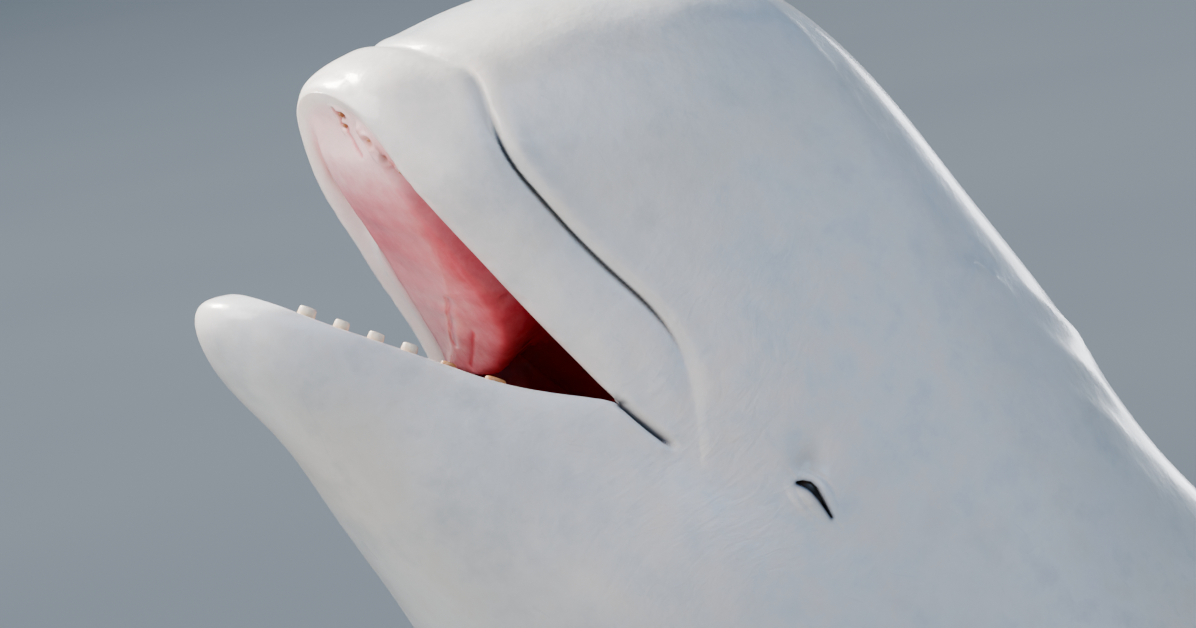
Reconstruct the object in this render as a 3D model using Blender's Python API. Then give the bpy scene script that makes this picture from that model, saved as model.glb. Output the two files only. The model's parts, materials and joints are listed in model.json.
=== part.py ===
"""A beluga whale at life size, rearing with its mouth open, on a display stand.

Metres, +Z up, the head towards -X and the animal's left side at -Y. The body is first laid out straight
along +X, in centimetres from the tip of its upper lip, and then bent in its own plane of symmetry.
"""
import math

import bmesh
import bpy
import numpy as np
from mathutils import Matrix, Vector

CM = 0.01
GAP = 0.03  # centimetres between neighbouring pieces

# The straight animal, in centimetres. A station is the distance behind the tip of the upper lip.
CORNER = 20.3  # station where the open lips meet
HEAD_END = 46.0
NECK_END = 64.0
THORAX_END = 150.0
ABDOMEN_END = 255.0
LENGTH = 380.0  # to the notch between the flukes
TAIL_ROUND = 12.0  # the last length of the tail, which rounds off

# Midline of the forehead: station, distance back and height above the body's axis.
FOREHEAD = ((0, 0.1, -5.65), (0.35, -0.2, -5.15), (1, -0.15, -4.2), (1.9, 0, -3.1), (3, 0.4, -1.9),
            (4, 0.9, -0.9), (5, 1.45, 0.4), (6.3, 2.2, 2.6), (8, 3.6, 6.1), (10, 5.9, 10.3),
            (12.5, 9.2, 14.8), (15.5, 14, 17.1), (20, 20, 18), (26, 26.3, 18), (34, 34.2, 18.3))
# Midline of the chin and throat, with the jaw open.
CHIN = ((0.35, 4.1, -17.3), (1, 4.3, -17.95), (2.5, 5.4, -18.7), (5, 8.1, -19.1), (10, 13.2, -18.7),
        (15, 18, -18.8), (20.3, 23, -18.9), (26, 28, -19), (34, 34.5, -19.2))
# The trunk: station, height of the back, depth of the belly, half width.
TRUNK = ((46, 18.3, 19.8, 16.9), (60, 21, 23.4, 20), (80, 26, 29.4, 26), (110, 31.8, 34.8, 32),
         (150, 34.8, 37, 35.4), (190, 34.8, 35.5, 34.6), (230, 31.6, 31, 29.8), (270, 26.2, 24.2, 22.4),
         (300, 20.8, 18.4, 16.2), (325, 16, 13.8, 11.2), (345, 12, 10.2, 7.6), (365, 8, 7, 4.8),
         (380, 5, 4.8, 3.6))
# The upper lip and, behind the corner, the widest line of the side.
LIP_HEIGHT = ((0, -5.65), (1, -5.85), (2.7, -6.25), (6, -6.75), (10, -6.7), (18, -6.8), (23.6, -6.4),
              (27, -5.6), (31, -4.4), (38, -2.3), (46, -0.8), (60, -0.2), (80, 0), (150, 0), (380, 0))
LIP_WIDTH = ((0, 0), (0.5, 2.5), (1, 3.4), (1.9, 4.15), (3.6, 4.9), (6, 5.55), (10, 6.3), (15, 7.9),
             (20.3, 10.1), (23.6, 11.5), (27, 13.2), (31, 14.8), (38, 16.3))
# The head bulges out above the lip, by this half width at this share of the way up to the midline.
CHEEK_WIDTH = ((0, 0), (0.5, 2.4), (1, 3.4), (1.9, 4.5), (3.3, 5.5), (5, 6.6), (8, 8.6), (12.5, 10.8),
               (18, 12.8), (23.6, 14.4), (31, 15.6), (38, 16.4), (46, 16.9))
CHEEK_RISE = ((0, 0.3), (5, 0.35), (12, 0.42), (20, 0.38), (31, 0.22), (40, 0.08), (46, 0))
# How square the cross-section is: 2 is an ellipse.
BACK_POWER = ((0, 2), (3, 2.2), (8, 2.5), (20, 2.6), (31, 2.4), (46, 2.15), (110, 2.05), (300, 1.9),
              (380, 1.8))
BELLY_POWER = ((0, 2), (5, 2.2), (20, 2.3), (46, 2.2), (110, 2.1), (300, 1.9), (380, 1.8))

# The jaws. The lower jaw turns about its hinge, less and less towards the corner of the mouth.
LOWER_LIP_HEIGHT = ((0, -6.45), (3, -6.5), (6, -6.45), (10, -6.4), (15, -6.7), (20.3, -6.7))
JAW_SHORTER = 3.3
JAW_NARROWER = 0.05  # share by which its tip is narrower than the upper jaw's
HINGE_BACK = 29.0
HINGE_HEIGHT = -7.4
GAPE = 21.5  # degrees
GAPE_FROM = 6.0
GAPE_POWER = 2.2
PALATE_RISE = 2.6
FLOOR_DEPTH = 0.30  # share of the lower jaw's depth
LIP_ROUNDING = 0.35
LIP_ROUNDING_FADE = 3.0  # the length before the corner over which the rounding fades
JAW_HOLLOW_FROM = 5.0  # stations at which the floor of the mouth and the palate reach their full depth
PALATE_FROM = 8.0

# How finely the jaws are laid out: rows along each, and columns from its lip to its middle line.
HEAD_ROWS = (20, 12)  # before and behind the corner of the mouth
HEAD_COLUMNS = 11
PALATE_COLUMNS = 8
JAW_ROWS = 18
JAW_COLUMNS = 8
JAW_FLOOR_COLUMNS = 7

# The pose: the body's slope in degrees, where it changes, and where the spine starts.
HEAD_SLOPE = 60.0
CHEST_TURN = 5.0
TAIL_TURN = 54.0
TURN_STATIONS = (46.0, 110.0, 390.0)
SPINE_START = (-0.92, 2.76)  # metres

# The low ridge along the middle of the back.
RIDGE_FROM = 188.0
RIDGE_TO = 240.0
RIDGE_RISE = 12.0  # the length over which it rises, and falls again
RIDGE_FALL = 16.0
RIDGE_HEIGHT = 2.0

# The eye and its lids, on the skin at this station and height.
EYE_STATION = 29.0
EYE_HEIGHT = -3.5
EYE_RADIUS = 1.5
EYE_SUNK = 1.22
LID_LONG = 1.35
LID_SHORT = 0.74
LID_THICK = 0.3
LID_TILT = 7.0  # degrees, the rear corner higher

# The blowhole, a crescent with its ends forward.
BLOWHOLE_STATION = 36.5
BLOWHOLE_WIDTH = 5.2
BLOWHOLE_BOW = 1.4
BLOWHOLE_RADIUS = 0.42
BLOWHOLE_POINTS = 11

# The fold between the forehead and the lip, as stations and heights, and the closed end of the mouth's line.
FOLD = ((4.25, -0.75), (5, -0.6), (5.8, -0.6), (6.5, -1.5), (7.7, -2.6), (10, -3), (15, -2.9), (19, -3),
        (21, -3.8))
FOLD_RADIUS = 0.36
FOLD_POINTS = 20
CREASE_END = 23.8
CREASE_RADIUS = 0.22

# Worn, peg-like teeth: the station of each one of a side.
LOWER_TEETH = (2.7, 4.6, 6.4, 8.5, 10.8, 13.4, 15.4, 17.2)
UPPER_TEETH = (1.8, 3.2, 4.8, 6.7, 8.8, 11.2, 13.6, 15.8)
TOOTH_RADIUS = 0.6
TOOTH_SIDES = 6
TOOTH_INSET = 1.05
TOOTH_ROOT = 1.2
TOOTH_CROWN = 0.72  # share of the radius left at the crown
TOOTH_LEAN = 0.06
LOWER_TOOTH_RISE = 0.75  # above the lip
UPPER_TOOTH_RISE = -0.05

TONGUE_STATION = 12.0
TONGUE_SIZE = (5.6, 3.6, 1.5)
TONGUE_DEPTH = 0.95  # share of the depth of the mouth's floor

# A flipper: its root inside the chest, the way it points, and its outline before and behind its middle line.
FLIPPER_ROOT = (76.0, 16.0, -12.5)
FLIPPER_WAY = (0.50, 0.72, -0.48)
FLIPPER_LENGTH = 55.0
FLIPPER_FRONT = ((0, 7.5), (12, 8), (24, 10), (38, 12), (47, 10), (52.5, 6), (55, 0.8))
FLIPPER_REAR = ((0, 7.5), (12, 7.5), (24, 9.6), (38, 12.6), (47, 10.6), (52.5, 6.4), (55, 0.8))
FLIPPER_THICK = ((0, 5.6), (18, 4.8), (38, 3), (50, 1.8), (55, 0.8))
FLIPPER_CURL = 6.5
FIN_CHORD_POINTS = 11
FIN_FRONT_FULLER = 0.25  # share by which a fin is thicker towards its front edge

# A fluke: its front and rear edges as stations, at each distance out from the midline.
FLUKE_INNER = 0.6
FLUKE_SPAN = 47.0
FLUKE_FRONT = ((0, 346), (6, 350), (18, 359.5), (30, 369.5), (40, 380), (45, 387), (47, 391))
FLUKE_REAR = ((0, 380), (4, 384.5), (12, 390), (22, 393.5), (32, 395.5), (41, 396), (47, 393.5))
FLUKE_THICK = ((0, 4.6), (10, 3.6), (30, 2.2), (44, 1.3), (47, 0.8))

# The display stand, in metres.
BASE_SIZE = (2.1, 1.1, 0.045)
BASE_CORNER = 0.08
BASE_EDGE = 0.005
FLANGE_RADIUS = 0.095
FLANGE_THICK = 0.012
FLANGE_EDGE = 0.002
ROD_RADIUS = 0.045
ROD_FRONT_X = -0.22
ROD_REAR_X = 0.66
ROD_SIDES = 24
ROD_PAST_SKIN = 0.22  # how far the rod is made past the lowest skin near it, before it is cut to fit
ROD_NEAR = (0.12, 0.2)


def spline(rows, at):
    """Smooth curve through (place, value) rows, in the root of the place, which makes it finest in front."""
    knots = np.sqrt(np.array([row[0] for row in rows], float))
    values = np.array([row[1] for row in rows], float)
    step = np.diff(knots)
    count = len(knots)
    matrix = np.eye(count)
    right = np.zeros(count)
    for i in range(1, count - 1):
        matrix[i, i - 1:i + 2] = step[i - 1], 2 * (step[i - 1] + step[i]), step[i]
        right[i] = 6 * ((values[i + 1] - values[i]) / step[i] - (values[i] - values[i - 1]) / step[i - 1])
    bend = np.linalg.solve(matrix, right)
    u = np.sqrt(np.clip(np.asarray(at, float), 0, None))
    k = np.clip(np.searchsorted(knots, u) - 1, 0, count - 2)
    after = u - knots[k]
    before = knots[k + 1] - u
    return ((bend[k] * before**3 + bend[k + 1] * after**3) / (6 * step[k])
            + (values[k + 1] / step[k] - bend[k + 1] * step[k] / 6) * after
            + (values[k] / step[k] - bend[k] * step[k] / 6) * before)


def smooth(value, start, end):
    t = np.clip((np.asarray(value, float) - start) / (end - start), 0, 1)
    return t * t * (3 - 2 * t)


def column(rows, index):
    return [(row[0], row[index]) for row in rows]


def trunk_rows(index):
    return column(TRUNK, index)


def posed(points):
    """Bends the straight animal, in centimetres, into its pose, in metres."""
    points = np.asarray(points, float)
    run = np.arange(-10.0, 421.0)
    middle = run[:-1] + 0.5
    first, second, third = TURN_STATIONS

    def slope(station):
        return np.radians(HEAD_SLOPE + CHEST_TURN * smooth(station, first, second)
                          - TAIL_TURN * smooth(station, second, third))

    path_x = np.concatenate([[0], np.cumsum(np.cos(slope(middle)))])
    path_z = np.concatenate([[0], np.cumsum(-np.sin(slope(middle)))])
    x, y, z = points[..., 0], points[..., 1], points[..., 2]
    turn = slope(x)
    world_x = np.interp(x, run, path_x) - path_x[10] + z * np.sin(turn)
    world_z = np.interp(x, run, path_z) - path_z[10] + z * np.cos(turn)
    return np.stack([world_x * CM + SPINE_START[0], y * CM, world_z * CM + SPINE_START[1]], -1)


def tail_taper(station):
    """Rounds off the tail's end between the flukes."""
    t = np.clip((station - (LENGTH - TAIL_ROUND)) / TAIL_ROUND, 0, 1)
    return np.sqrt(1 - t * t)


def lower_lip(station):
    """Distance back, half width and height of the lower lip, with the jaw open."""
    back = station + JAW_SHORTER * (1 - station / CORNER)
    turn = np.radians(GAPE) * (1 - np.clip((station - GAPE_FROM) / (CORNER - GAPE_FROM), 0, 1) ** GAPE_POWER)
    width = spline(LIP_WIDTH + tuple(trunk_rows(3)), station)
    width *= 1 - JAW_NARROWER * (1 - station / CORNER)
    dx = back - HINGE_BACK
    dz = spline(LOWER_LIP_HEIGHT, station) - HINGE_HEIGHT
    x = HINGE_BACK + dx * np.cos(turn) - dz * np.sin(turn)
    z = HINGE_HEIGHT + dz * np.cos(turn) + dx * np.sin(turn)
    return x, width, z


def arch(side, ridge, width, wide, wide_at, power, count):
    """One half of a cross-section, evenly spaced from the side line to the middle line."""
    angle = np.linspace(0, math.pi / 2, 60)
    rise = wide_at + (1 - wide_at) * np.sin(angle) ** (2 / power)
    out = wide * np.cos(angle) ** (2 / power)
    if wide_at > 0:
        low = np.linspace(0, wide_at, 20)[:-1]
        out = np.concatenate([width + (wide - width) * (1 - (1 - low / wide_at) ** 2), out])
        rise = np.concatenate([low, rise])
    line = np.stack([side[0] + (ridge[0] - side[0]) * rise, out, side[1] + (ridge[1] - side[1]) * rise], 1)
    run = np.concatenate([[0], np.cumsum(np.linalg.norm(np.diff(line, axis=0), axis=1))])
    at = np.linspace(0, run[-1], count + 1)
    half = np.stack([np.interp(at, run, line[:, k]) for k in range(3)], 1)
    half[-1, 1] = 0
    return np.concatenate([half, half[-2::-1] * [1, -1, 1]])


def backs(stations, count):
    """Upper half of each cross-section, from the right side line over the back to the left one."""
    stations = np.asarray(stations, float)
    x = np.where(stations < 34, spline(column(FOREHEAD, 1) + [(46, 46)], np.minimum(stations, 46)), stations)
    z = spline(column(FOREHEAD, 2) + trunk_rows(1), stations)
    width = spline(list(LIP_WIDTH) + trunk_rows(3), stations)
    head = np.minimum(stations, HEAD_END)
    wide = np.where(stations < HEAD_END, np.maximum(spline(CHEEK_WIDTH, head), width), width)
    wide_at = np.where(wide > width + 1e-6, np.clip(spline(CHEEK_RISE, head), 0, 1), 0)
    power = spline(BACK_POWER, stations)
    low = spline(LIP_HEIGHT, stations)
    end = tail_taper(stations)
    ridge = RIDGE_HEIGHT * smooth(stations, RIDGE_FROM, RIDGE_FROM + RIDGE_RISE)
    ridge *= 1 - smooth(stations, RIDGE_TO - RIDGE_FALL, RIDGE_TO)
    rows = []
    for i, station in enumerate(stations):
        top = z[i] * (end[i] if station > HEAD_END else 1)
        row = arch((station, low[i]), (x[i], top), width[i] * end[i], wide[i] * end[i], wide_at[i],
                   power[i], count)
        row[count, 2] += ridge[i]
        rows.append(row)
    return np.array(rows)


def bellies(stations, count):
    """Lower half of each cross-section, from the right side line under the belly to the left one."""
    stations = np.asarray(stations, float)
    tip = lower_lip(0.0)
    chin_x = [(0, float(tip[0]))] + column(CHIN, 1) + [(46, 46)]
    x = np.where(stations < 34, spline(chin_x, np.minimum(stations, 46)), stations)
    depths = [(row[0], -row[2]) for row in TRUNK]
    z = spline([(0, float(tip[2]))] + column(CHIN, 2) + depths, stations)
    width = spline(list(LIP_WIDTH) + trunk_rows(3), stations)
    low = spline(LIP_HEIGHT, stations)
    power = spline(BELLY_POWER, stations)
    end = tail_taper(stations)
    rows = []
    for i, station in enumerate(stations):
        side = (station, low[i])
        half = width[i] * end[i]
        if station < CORNER:
            lip = lower_lip(station)
            side = (float(lip[0]), float(lip[2]) - GAP)
            half = float(lip[1])
        bottom = (x[i], z[i] * (end[i] if station > HEAD_END else 1))
        rows.append(arch(side, bottom, half, half, 0, power[i], count))
    return np.array(rows)


def linings(arches, shares, depths, count):
    """The inner face of a jaw, hollowed between its two lips, from the left lip to the right one."""
    t = np.sin(np.linspace(-1, 1, 2 * count + 1) * math.pi / 2)
    hollow = (1 - t * t) ** 1.5
    rows = []
    for row, way, depth in zip(arches, shares, depths):
        width = row[0, 1]
        points = np.stack([np.full_like(t, row[0, 0]), t * width, np.full_like(t, row[0, 2])], 1)
        rows.append(points + np.outer(hollow * depth, way))
    return np.array(rows)


def round_lips(outer, inner, stations):
    """Pulls the corner between the outer and inner faces back, which makes the lips round."""
    share = LIP_ROUNDING * np.clip((CORNER - np.asarray(stations)) / LIP_ROUNDING_FADE, 0, 1)[:, None]
    for end, start, beside in ((-1, 0, -2), (0, -1, 1)):
        near = (outer[:, beside] + inner[:, 1 if start == 0 else -2]) / 2
        corner = outer[:, end] * (1 - share) + near * share
        outer[:, end] = corner
        inner[:, start] = corner


def add_grid(mesh, rows):
    """Quads between neighbouring rows of points, in centimetres of the straight animal."""
    rows = posed(rows)
    made = [[mesh.verts.new(point) for point in row] for row in rows]
    for first, second in zip(made, made[1:]):
        for j in range(len(first) - 1):
            mesh.faces.new((first[j], first[j + 1], second[j + 1], second[j]))


def add_cap(mesh, loop):
    mesh.faces.new([mesh.verts.new(point) for point in posed(loop)])


def finish_mesh(mesh, name, collection, material):
    """Welds the patches into one closed surface with its faces out, and makes it an object."""
    bmesh.ops.remove_doubles(mesh, verts=mesh.verts, dist=2e-6)
    bmesh.ops.dissolve_degenerate(mesh, dist=1e-6, edges=mesh.edges)
    bmesh.ops.recalc_face_normals(mesh, faces=mesh.faces)
    data = bpy.data.meshes.new(name)
    mesh.to_mesh(data)
    mesh.free()
    return link(name, data, collection, material)


def link(name, data, collection, material=None):
    piece = bpy.data.objects.new(name, data)
    collection.objects.link(piece)
    if material:
        data.materials.append(material)
        data.shade_smooth()
        data.set_sharp_from_angle(angle=math.radians(40))
    else:
        piece.hide_render = True
        piece.display_type = "WIRE"
    return piece


def applied(piece):
    """Replaces the object's mesh with the result of its modifiers."""
    bpy.context.view_layer.update()
    result = bpy.data.meshes.new_from_object(piece.evaluated_get(bpy.context.evaluated_depsgraph_get()))
    piece.modifiers.clear()
    piece.data = result


def boolean(piece, other, operation, solver="EXACT"):
    modifier = piece.modifiers.new(operation.title(), "BOOLEAN")
    modifier.operation = operation
    modifier.object = other
    modifier.solver = solver
    applied(piece)


def keep_largest(piece):
    """Leaves only the piece's largest closed surface after a cut."""
    mesh = bmesh.new()
    mesh.from_mesh(piece.data)
    mesh.verts.ensure_lookup_table()
    left = set(mesh.verts)
    groups = []
    while left:
        group = set()
        queue = [left.pop()]
        while queue:
            vert = queue.pop()
            group.add(vert)
            for edge in vert.link_edges:
                other = edge.other_vert(vert)
                if other in left:
                    left.discard(other)
                    queue.append(other)
        groups.append(group)
    groups.sort(key=len)
    bmesh.ops.delete(mesh, geom=[vert for group in groups[:-1] for vert in group], context="VERTS")
    mesh.to_mesh(piece.data)
    mesh.free()


def grown_copy(piece, name, collection, amount=GAP * CM):
    """A copy of a piece with its surface moved outward, to cut its neighbours clear of it."""
    data = piece.data.copy()
    mesh = bmesh.new()
    mesh.from_mesh(data)
    mesh.normal_update()
    moved = [(vert, vert.co + vert.normal * amount * vert.calc_shell_factor()) for vert in mesh.verts]
    for vert, place in moved:
        vert.co = place
    mesh.to_mesh(data)
    mesh.free()
    return link(name, data, collection)


def clear_of(piece, neighbour, cutters):
    boolean(piece, grown_copy(neighbour, piece.name + "_clear_of_" + neighbour.name, cutters), "DIFFERENCE")
    keep_largest(piece)


def make_material(name, colour, roughness, coat=0.0):
    material = bpy.data.materials.new(name)
    material.use_nodes = True
    shader = material.node_tree.nodes["Principled BSDF"]
    linear = [value / 12.92 if value <= 0.04045 else ((value + 0.055) / 1.055) ** 2.4
              for value in (int(colour[i:i + 2], 16) / 255 for i in (0, 2, 4))]
    shader.inputs["Base Color"].default_value = (*linear, 1)
    shader.inputs["Roughness"].default_value = roughness
    shader.inputs["Coat Weight"].default_value = coat
    return material


def stations_between(start, end, count):
    """Stations spaced evenly in the root of the station, closer together towards the snout."""
    return np.linspace(math.sqrt(start), math.sqrt(end), count) ** 2


def trunk_piece(name, start, end, count, around, collection, material):
    """A closed length of the body between two stations."""
    stations = np.linspace(start, end, count)
    upper = backs(stations, around)
    lower = bellies(stations, around)
    mesh = bmesh.new()
    add_grid(mesh, upper)
    add_grid(mesh, lower)
    for i in (0, -1):
        loop = np.concatenate([upper[i], lower[i, -2:0:-1]])
        if end < LENGTH or i == 0:
            add_cap(mesh, loop)
    return finish_mesh(mesh, name, collection, material)


def make_head(collection, material):
    """The upper jaw with its palate, and the head behind the corner of the mouth down to the throat."""
    front = stations_between(0, CORNER, HEAD_ROWS[0])
    rear = np.linspace(CORNER, HEAD_END, HEAD_ROWS[1])
    upper_front = backs(front, HEAD_COLUMNS)
    # The palate rises in the plane in which the head meets the lower jaw.
    throat_back = spline(column(CHIN, 1) + [(46, 46)], CORNER) - CORNER
    throat_drop = spline(column(CHIN, 2) + [(46, -19.8)], CORNER) - spline(LIP_HEIGHT, CORNER)
    up = np.array([throat_back / throat_drop, 0, 1])
    rise = PALATE_RISE * smooth(front, 0, PALATE_FROM)
    palate = linings(upper_front, [up] * len(front), rise, PALATE_COLUMNS)
    round_lips(upper_front, palate, front)
    upper_rear = backs(rear, HEAD_COLUMNS)
    lower_rear = bellies(rear, PALATE_COLUMNS)
    mesh = bmesh.new()
    add_grid(mesh, upper_front)
    add_grid(mesh, upper_rear)
    add_grid(mesh, palate)
    add_grid(mesh, lower_rear)
    add_grid(mesh, np.array([palate[-1][::-1], lower_rear[0]]))
    add_cap(mesh, np.concatenate([upper_rear[-1], lower_rear[-1, -2:0:-1]]))
    return finish_mesh(mesh, "head", collection, material)


def make_jaw(collection, material):
    stations = stations_between(0, CORNER - GAP, JAW_ROWS)
    lower = bellies(stations, JAW_COLUMNS)
    middle = lower[:, JAW_COLUMNS]
    ways = (middle - lower[:, 0]) * [1, 0, 1]
    depth = FLOOR_DEPTH * smooth(stations, 0, JAW_HOLLOW_FROM)
    floor = linings(lower, ways, depth, JAW_FLOOR_COLUMNS)
    round_lips(lower, floor, stations)
    mesh = bmesh.new()
    add_grid(mesh, lower)
    add_grid(mesh, floor)
    add_cap(mesh, np.concatenate([lower[-1], floor[-1, 1:-1]]))
    return finish_mesh(mesh, "lower_jaw", collection, material)


def side_point(station, height, side):
    """A point of the skin above the lip and its outward normal. The side is 1 for right and -1 for left."""
    def at(where, level):
        half = backs([where], 40)[0][:41]
        return np.array([np.interp(level, half[:, 2], half[:, k]) for k in (0, 1)] + [level])

    along = at(station + 0.3, height) - at(station - 0.3, height)
    up = at(station, height + 0.3) - at(station, height - 0.3)
    normal = np.cross(up, along)
    normal *= np.sign(normal[1]) / np.linalg.norm(normal)
    flip = np.array([1, side, 1])
    return at(station, height) * flip, normal * flip


def top_point(station, out):
    """A point of the skin near the middle of the back, this far out to the right."""
    half = backs([station], 40)[0][:41][::-1]
    back, height = (np.interp(abs(out), half[:, 1], half[:, k]) for k in (0, 2))
    return np.array([back, out, height])


def turned(direction):
    """A direction of the straight head, in the pose."""
    ends = posed(np.array([[10.0, 0, 0], np.array([10.0, 0, 0]) + direction]))
    return Vector(ends[1] - ends[0]).normalized()


def frame_at(point, along, normal):
    """A matrix at a point of the head, its x along one direction and its z along the normal."""
    z = turned(normal)
    y = z.cross(turned(along)).normalized()
    x = y.cross(z)
    matrix = Matrix((x, y, z)).transposed().to_4x4()
    matrix.translation = Vector(posed(point))
    return matrix


def adopt(name, collection, material=None):
    """Takes the primitive just added as a piece, with its place kept in its mesh."""
    piece = bpy.context.object
    data = piece.data
    data.transform(piece.matrix_world)
    data.materials.clear()
    bpy.data.objects.remove(piece, do_unlink=True)
    data.name = name
    return link(name, data, collection, material)


def tube(name, path, radius, collection):
    """A round cutter along a path of the straight animal."""
    curve = bpy.data.curves.new(name, "CURVE")
    curve.dimensions = "3D"
    curve.bevel_depth = radius * CM
    curve.bevel_resolution = 0
    curve.use_fill_caps = True
    line = curve.splines.new("POLY")
    line.points.add(len(path) - 1)
    for point, place in zip(line.points, posed(path)):
        point.co = (*place, 1)
    piece = bpy.data.objects.new(name, curve)
    collection.objects.link(piece)
    bpy.context.view_layer.update()
    data = bpy.data.meshes.new_from_object(piece.evaluated_get(bpy.context.evaluated_depsgraph_get()))
    bpy.data.objects.remove(piece, do_unlink=True)
    mesh = bmesh.new()
    mesh.from_mesh(data)
    bmesh.ops.remove_doubles(mesh, verts=mesh.verts, dist=1e-6)
    bmesh.ops.recalc_face_normals(mesh, faces=mesh.faces)
    mesh.to_mesh(data)
    mesh.free()
    return link(name, data, collection)


def cut_folds(head, cutters):
    """The fold over each lip, the closed ends of the mouth's line and the blowhole."""
    snout = np.linspace(FOREHEAD[2][0], FOREHEAD[7][0], 60)
    middle = float(np.interp(FOLD[0][1], spline(column(FOREHEAD, 2), snout), snout))
    stations = middle + (FOLD[-1][0] - middle) * np.linspace(0, 1, FOLD_POINTS) ** 2
    right = np.array([side_point(s, float(spline(FOLD, s)), 1)[0] for s in stations])
    right[0, 1] = 0
    fold = np.concatenate([right[:0:-1], right * [1, -1, 1]])
    boolean(head, tube("fold", fold, FOLD_RADIUS, cutters), "DIFFERENCE")
    for name, side in (("right", 1), ("left", -1)):
        line = []
        for station in np.linspace(CORNER - 0.4, CREASE_END, 7):
            width = float(spline(list(LIP_WIDTH) + trunk_rows(3), station))
            line.append((station, side * width, float(spline(LIP_HEIGHT, station))))
        boolean(head, tube("mouth_line_" + name, line, CREASE_RADIUS, cutters), "DIFFERENCE", "MANIFOLD")
    half = BLOWHOLE_WIDTH / 2
    crescent = [top_point(BLOWHOLE_STATION - BLOWHOLE_BOW * (out / half) ** 2, out)
                for out in np.linspace(-half, half, BLOWHOLE_POINTS)]
    boolean(head, tube("blowhole", crescent, BLOWHOLE_RADIUS, cutters), "DIFFERENCE")


def make_eye(head, name, side, parts, cutters, material):
    """Lids raised on the head, a socket through them, and the ball in the socket."""
    point, normal = side_point(EYE_STATION, EYE_HEIGHT, side)
    tilt = math.radians(LID_TILT)
    place = frame_at(point, np.array([math.cos(tilt), 0, math.sin(tilt)]), normal)
    bpy.ops.mesh.primitive_torus_add(major_segments=20, minor_segments=6,
                                     major_radius=LID_LONG * CM, minor_radius=LID_THICK * CM)
    bpy.context.object.data.transform(place @ Matrix.Diagonal((1, LID_SHORT / LID_LONG, 1, 1)))
    boolean(head, adopt("lids_" + name, cutters), "UNION", "MANIFOLD")
    centre = Vector(posed(point - normal * EYE_SUNK))
    for size, title, where, look in ((EYE_RADIUS + GAP, "socket_" + name, cutters, None),
                                     (EYE_RADIUS, "eye_" + name, parts, material)):
        bpy.ops.mesh.primitive_uv_sphere_add(segments=16, ring_count=10, radius=size * CM)
        bpy.context.object.data.transform(Matrix.Translation(centre) @ place.to_3x3().to_4x4())
        made = adopt(title, where, look)
        if look is None:
            boolean(head, made, "DIFFERENCE", "MANIFOLD")


def tooth(mesh, base, way, root, rise, chance):
    """Adds one peg, its root sunk into the gum and its worn crown flat."""
    axis = turned(way + chance.uniform(-TOOTH_LEAN, TOOTH_LEAN, 3))
    matrix = axis.to_track_quat("Z", "Y").to_matrix().to_4x4()
    radius = TOOTH_RADIUS * CM * chance.uniform(0.9, 1.1)
    depth = (root + rise * chance.uniform(0.9, 1.1)) * CM
    matrix.translation = Vector(posed(base)) + axis * (depth / 2 - root * CM)
    bmesh.ops.create_cone(mesh, cap_ends=True, segments=TOOTH_SIDES, radius1=radius,
                          radius2=radius * TOOTH_CROWN, depth=depth, matrix=matrix)


def add_teeth(piece, stations, rows, way_of, root, rise, seed, cutters):
    """Joins a row of pegs to each side of a jaw, just inside its lips."""
    chance = np.random.default_rng(seed)
    mesh = bmesh.new()
    for station, row in zip(stations, rows):
        for side in (0, -1):
            lip = row[side]
            base = lip - np.array([0, math.copysign(TOOTH_INSET, lip[1]), 0])
            tooth(mesh, base, way_of(row), root, rise, chance)
    data = bpy.data.meshes.new(piece.name + "_teeth")
    mesh.to_mesh(data)
    mesh.free()
    boolean(piece, link(piece.name + "_teeth", data, cutters), "UNION", "MANIFOLD")
    keep_largest(piece)


def down_of(row):
    """The way from the lips to the middle of the jaw's underside."""
    way = (row[len(row) // 2] - row[0]) * [1, 0, 1]
    return way / np.linalg.norm(way)


def make_tongue(jaw, head, parts, cutters, material):
    row = bellies([TONGUE_STATION], 9)[0]
    down = down_of(row)
    ahead = np.array([down[2], 0, -down[0]])
    jaw_depth = np.linalg.norm((row[9] - row[0])[[0, 2]])
    centre = (row[0] + row[-1]) / 2 + down * FLOOR_DEPTH * jaw_depth * TONGUE_DEPTH
    place = frame_at(centre, ahead, -down)
    bpy.ops.mesh.primitive_uv_sphere_add(segments=18, ring_count=10, radius=CM)
    bpy.context.object.data.transform(place @ Matrix.Diagonal((*TONGUE_SIZE, 1)))
    tongue = adopt("tongue", parts, material)
    clear_of(tongue, jaw, cutters)
    clear_of(tongue, head, cutters)
    return tongue


def add_fin_faces(mesh, top, bottom):
    """Both faces of a fin, triangulated alike, and its two ends."""
    for rows in (top, bottom):
        made = [[mesh.verts.new(point) for point in row] for row in rows]
        for first, second in zip(made, made[1:]):
            for j in range(len(first) - 1):
                mesh.faces.new((first[j], first[j + 1], second[j + 1]))
                mesh.faces.new((first[j], second[j + 1], second[j]))
    for i in (0, -1):
        for j in range(len(top[i]) - 1):
            corners = [top[i][j], top[i][j + 1], bottom[i][j + 1], bottom[i][j]]
            corners = [corner for k, corner in enumerate(corners)
                       if not any((corner == other).all() for other in corners[:k])]
            mesh.faces.new([mesh.verts.new(corner) for corner in corners])


def fin(name, sections, parts, material):
    """A fin through sections of (points along the chord, half thickness at each, the way up)."""
    top = [posed(line + np.outer(half, up)) for line, half, up in sections]
    bottom = [posed(line - np.outer(half, up)) for line, half, up in sections]
    mesh = bmesh.new()
    add_fin_faces(mesh, top, bottom)
    return finish_mesh(mesh, name, parts, material)


def chord_steps(count):
    """Places along a chord, from 1 at the front to -1 at the rear, and the thickness at each."""
    angle = np.linspace(0, math.pi, count)
    place = np.cos(angle)
    thick = np.sin(angle) * (1 + FIN_FRONT_FULLER * place)
    thick[[0, -1]] = 0
    return place, thick


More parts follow.
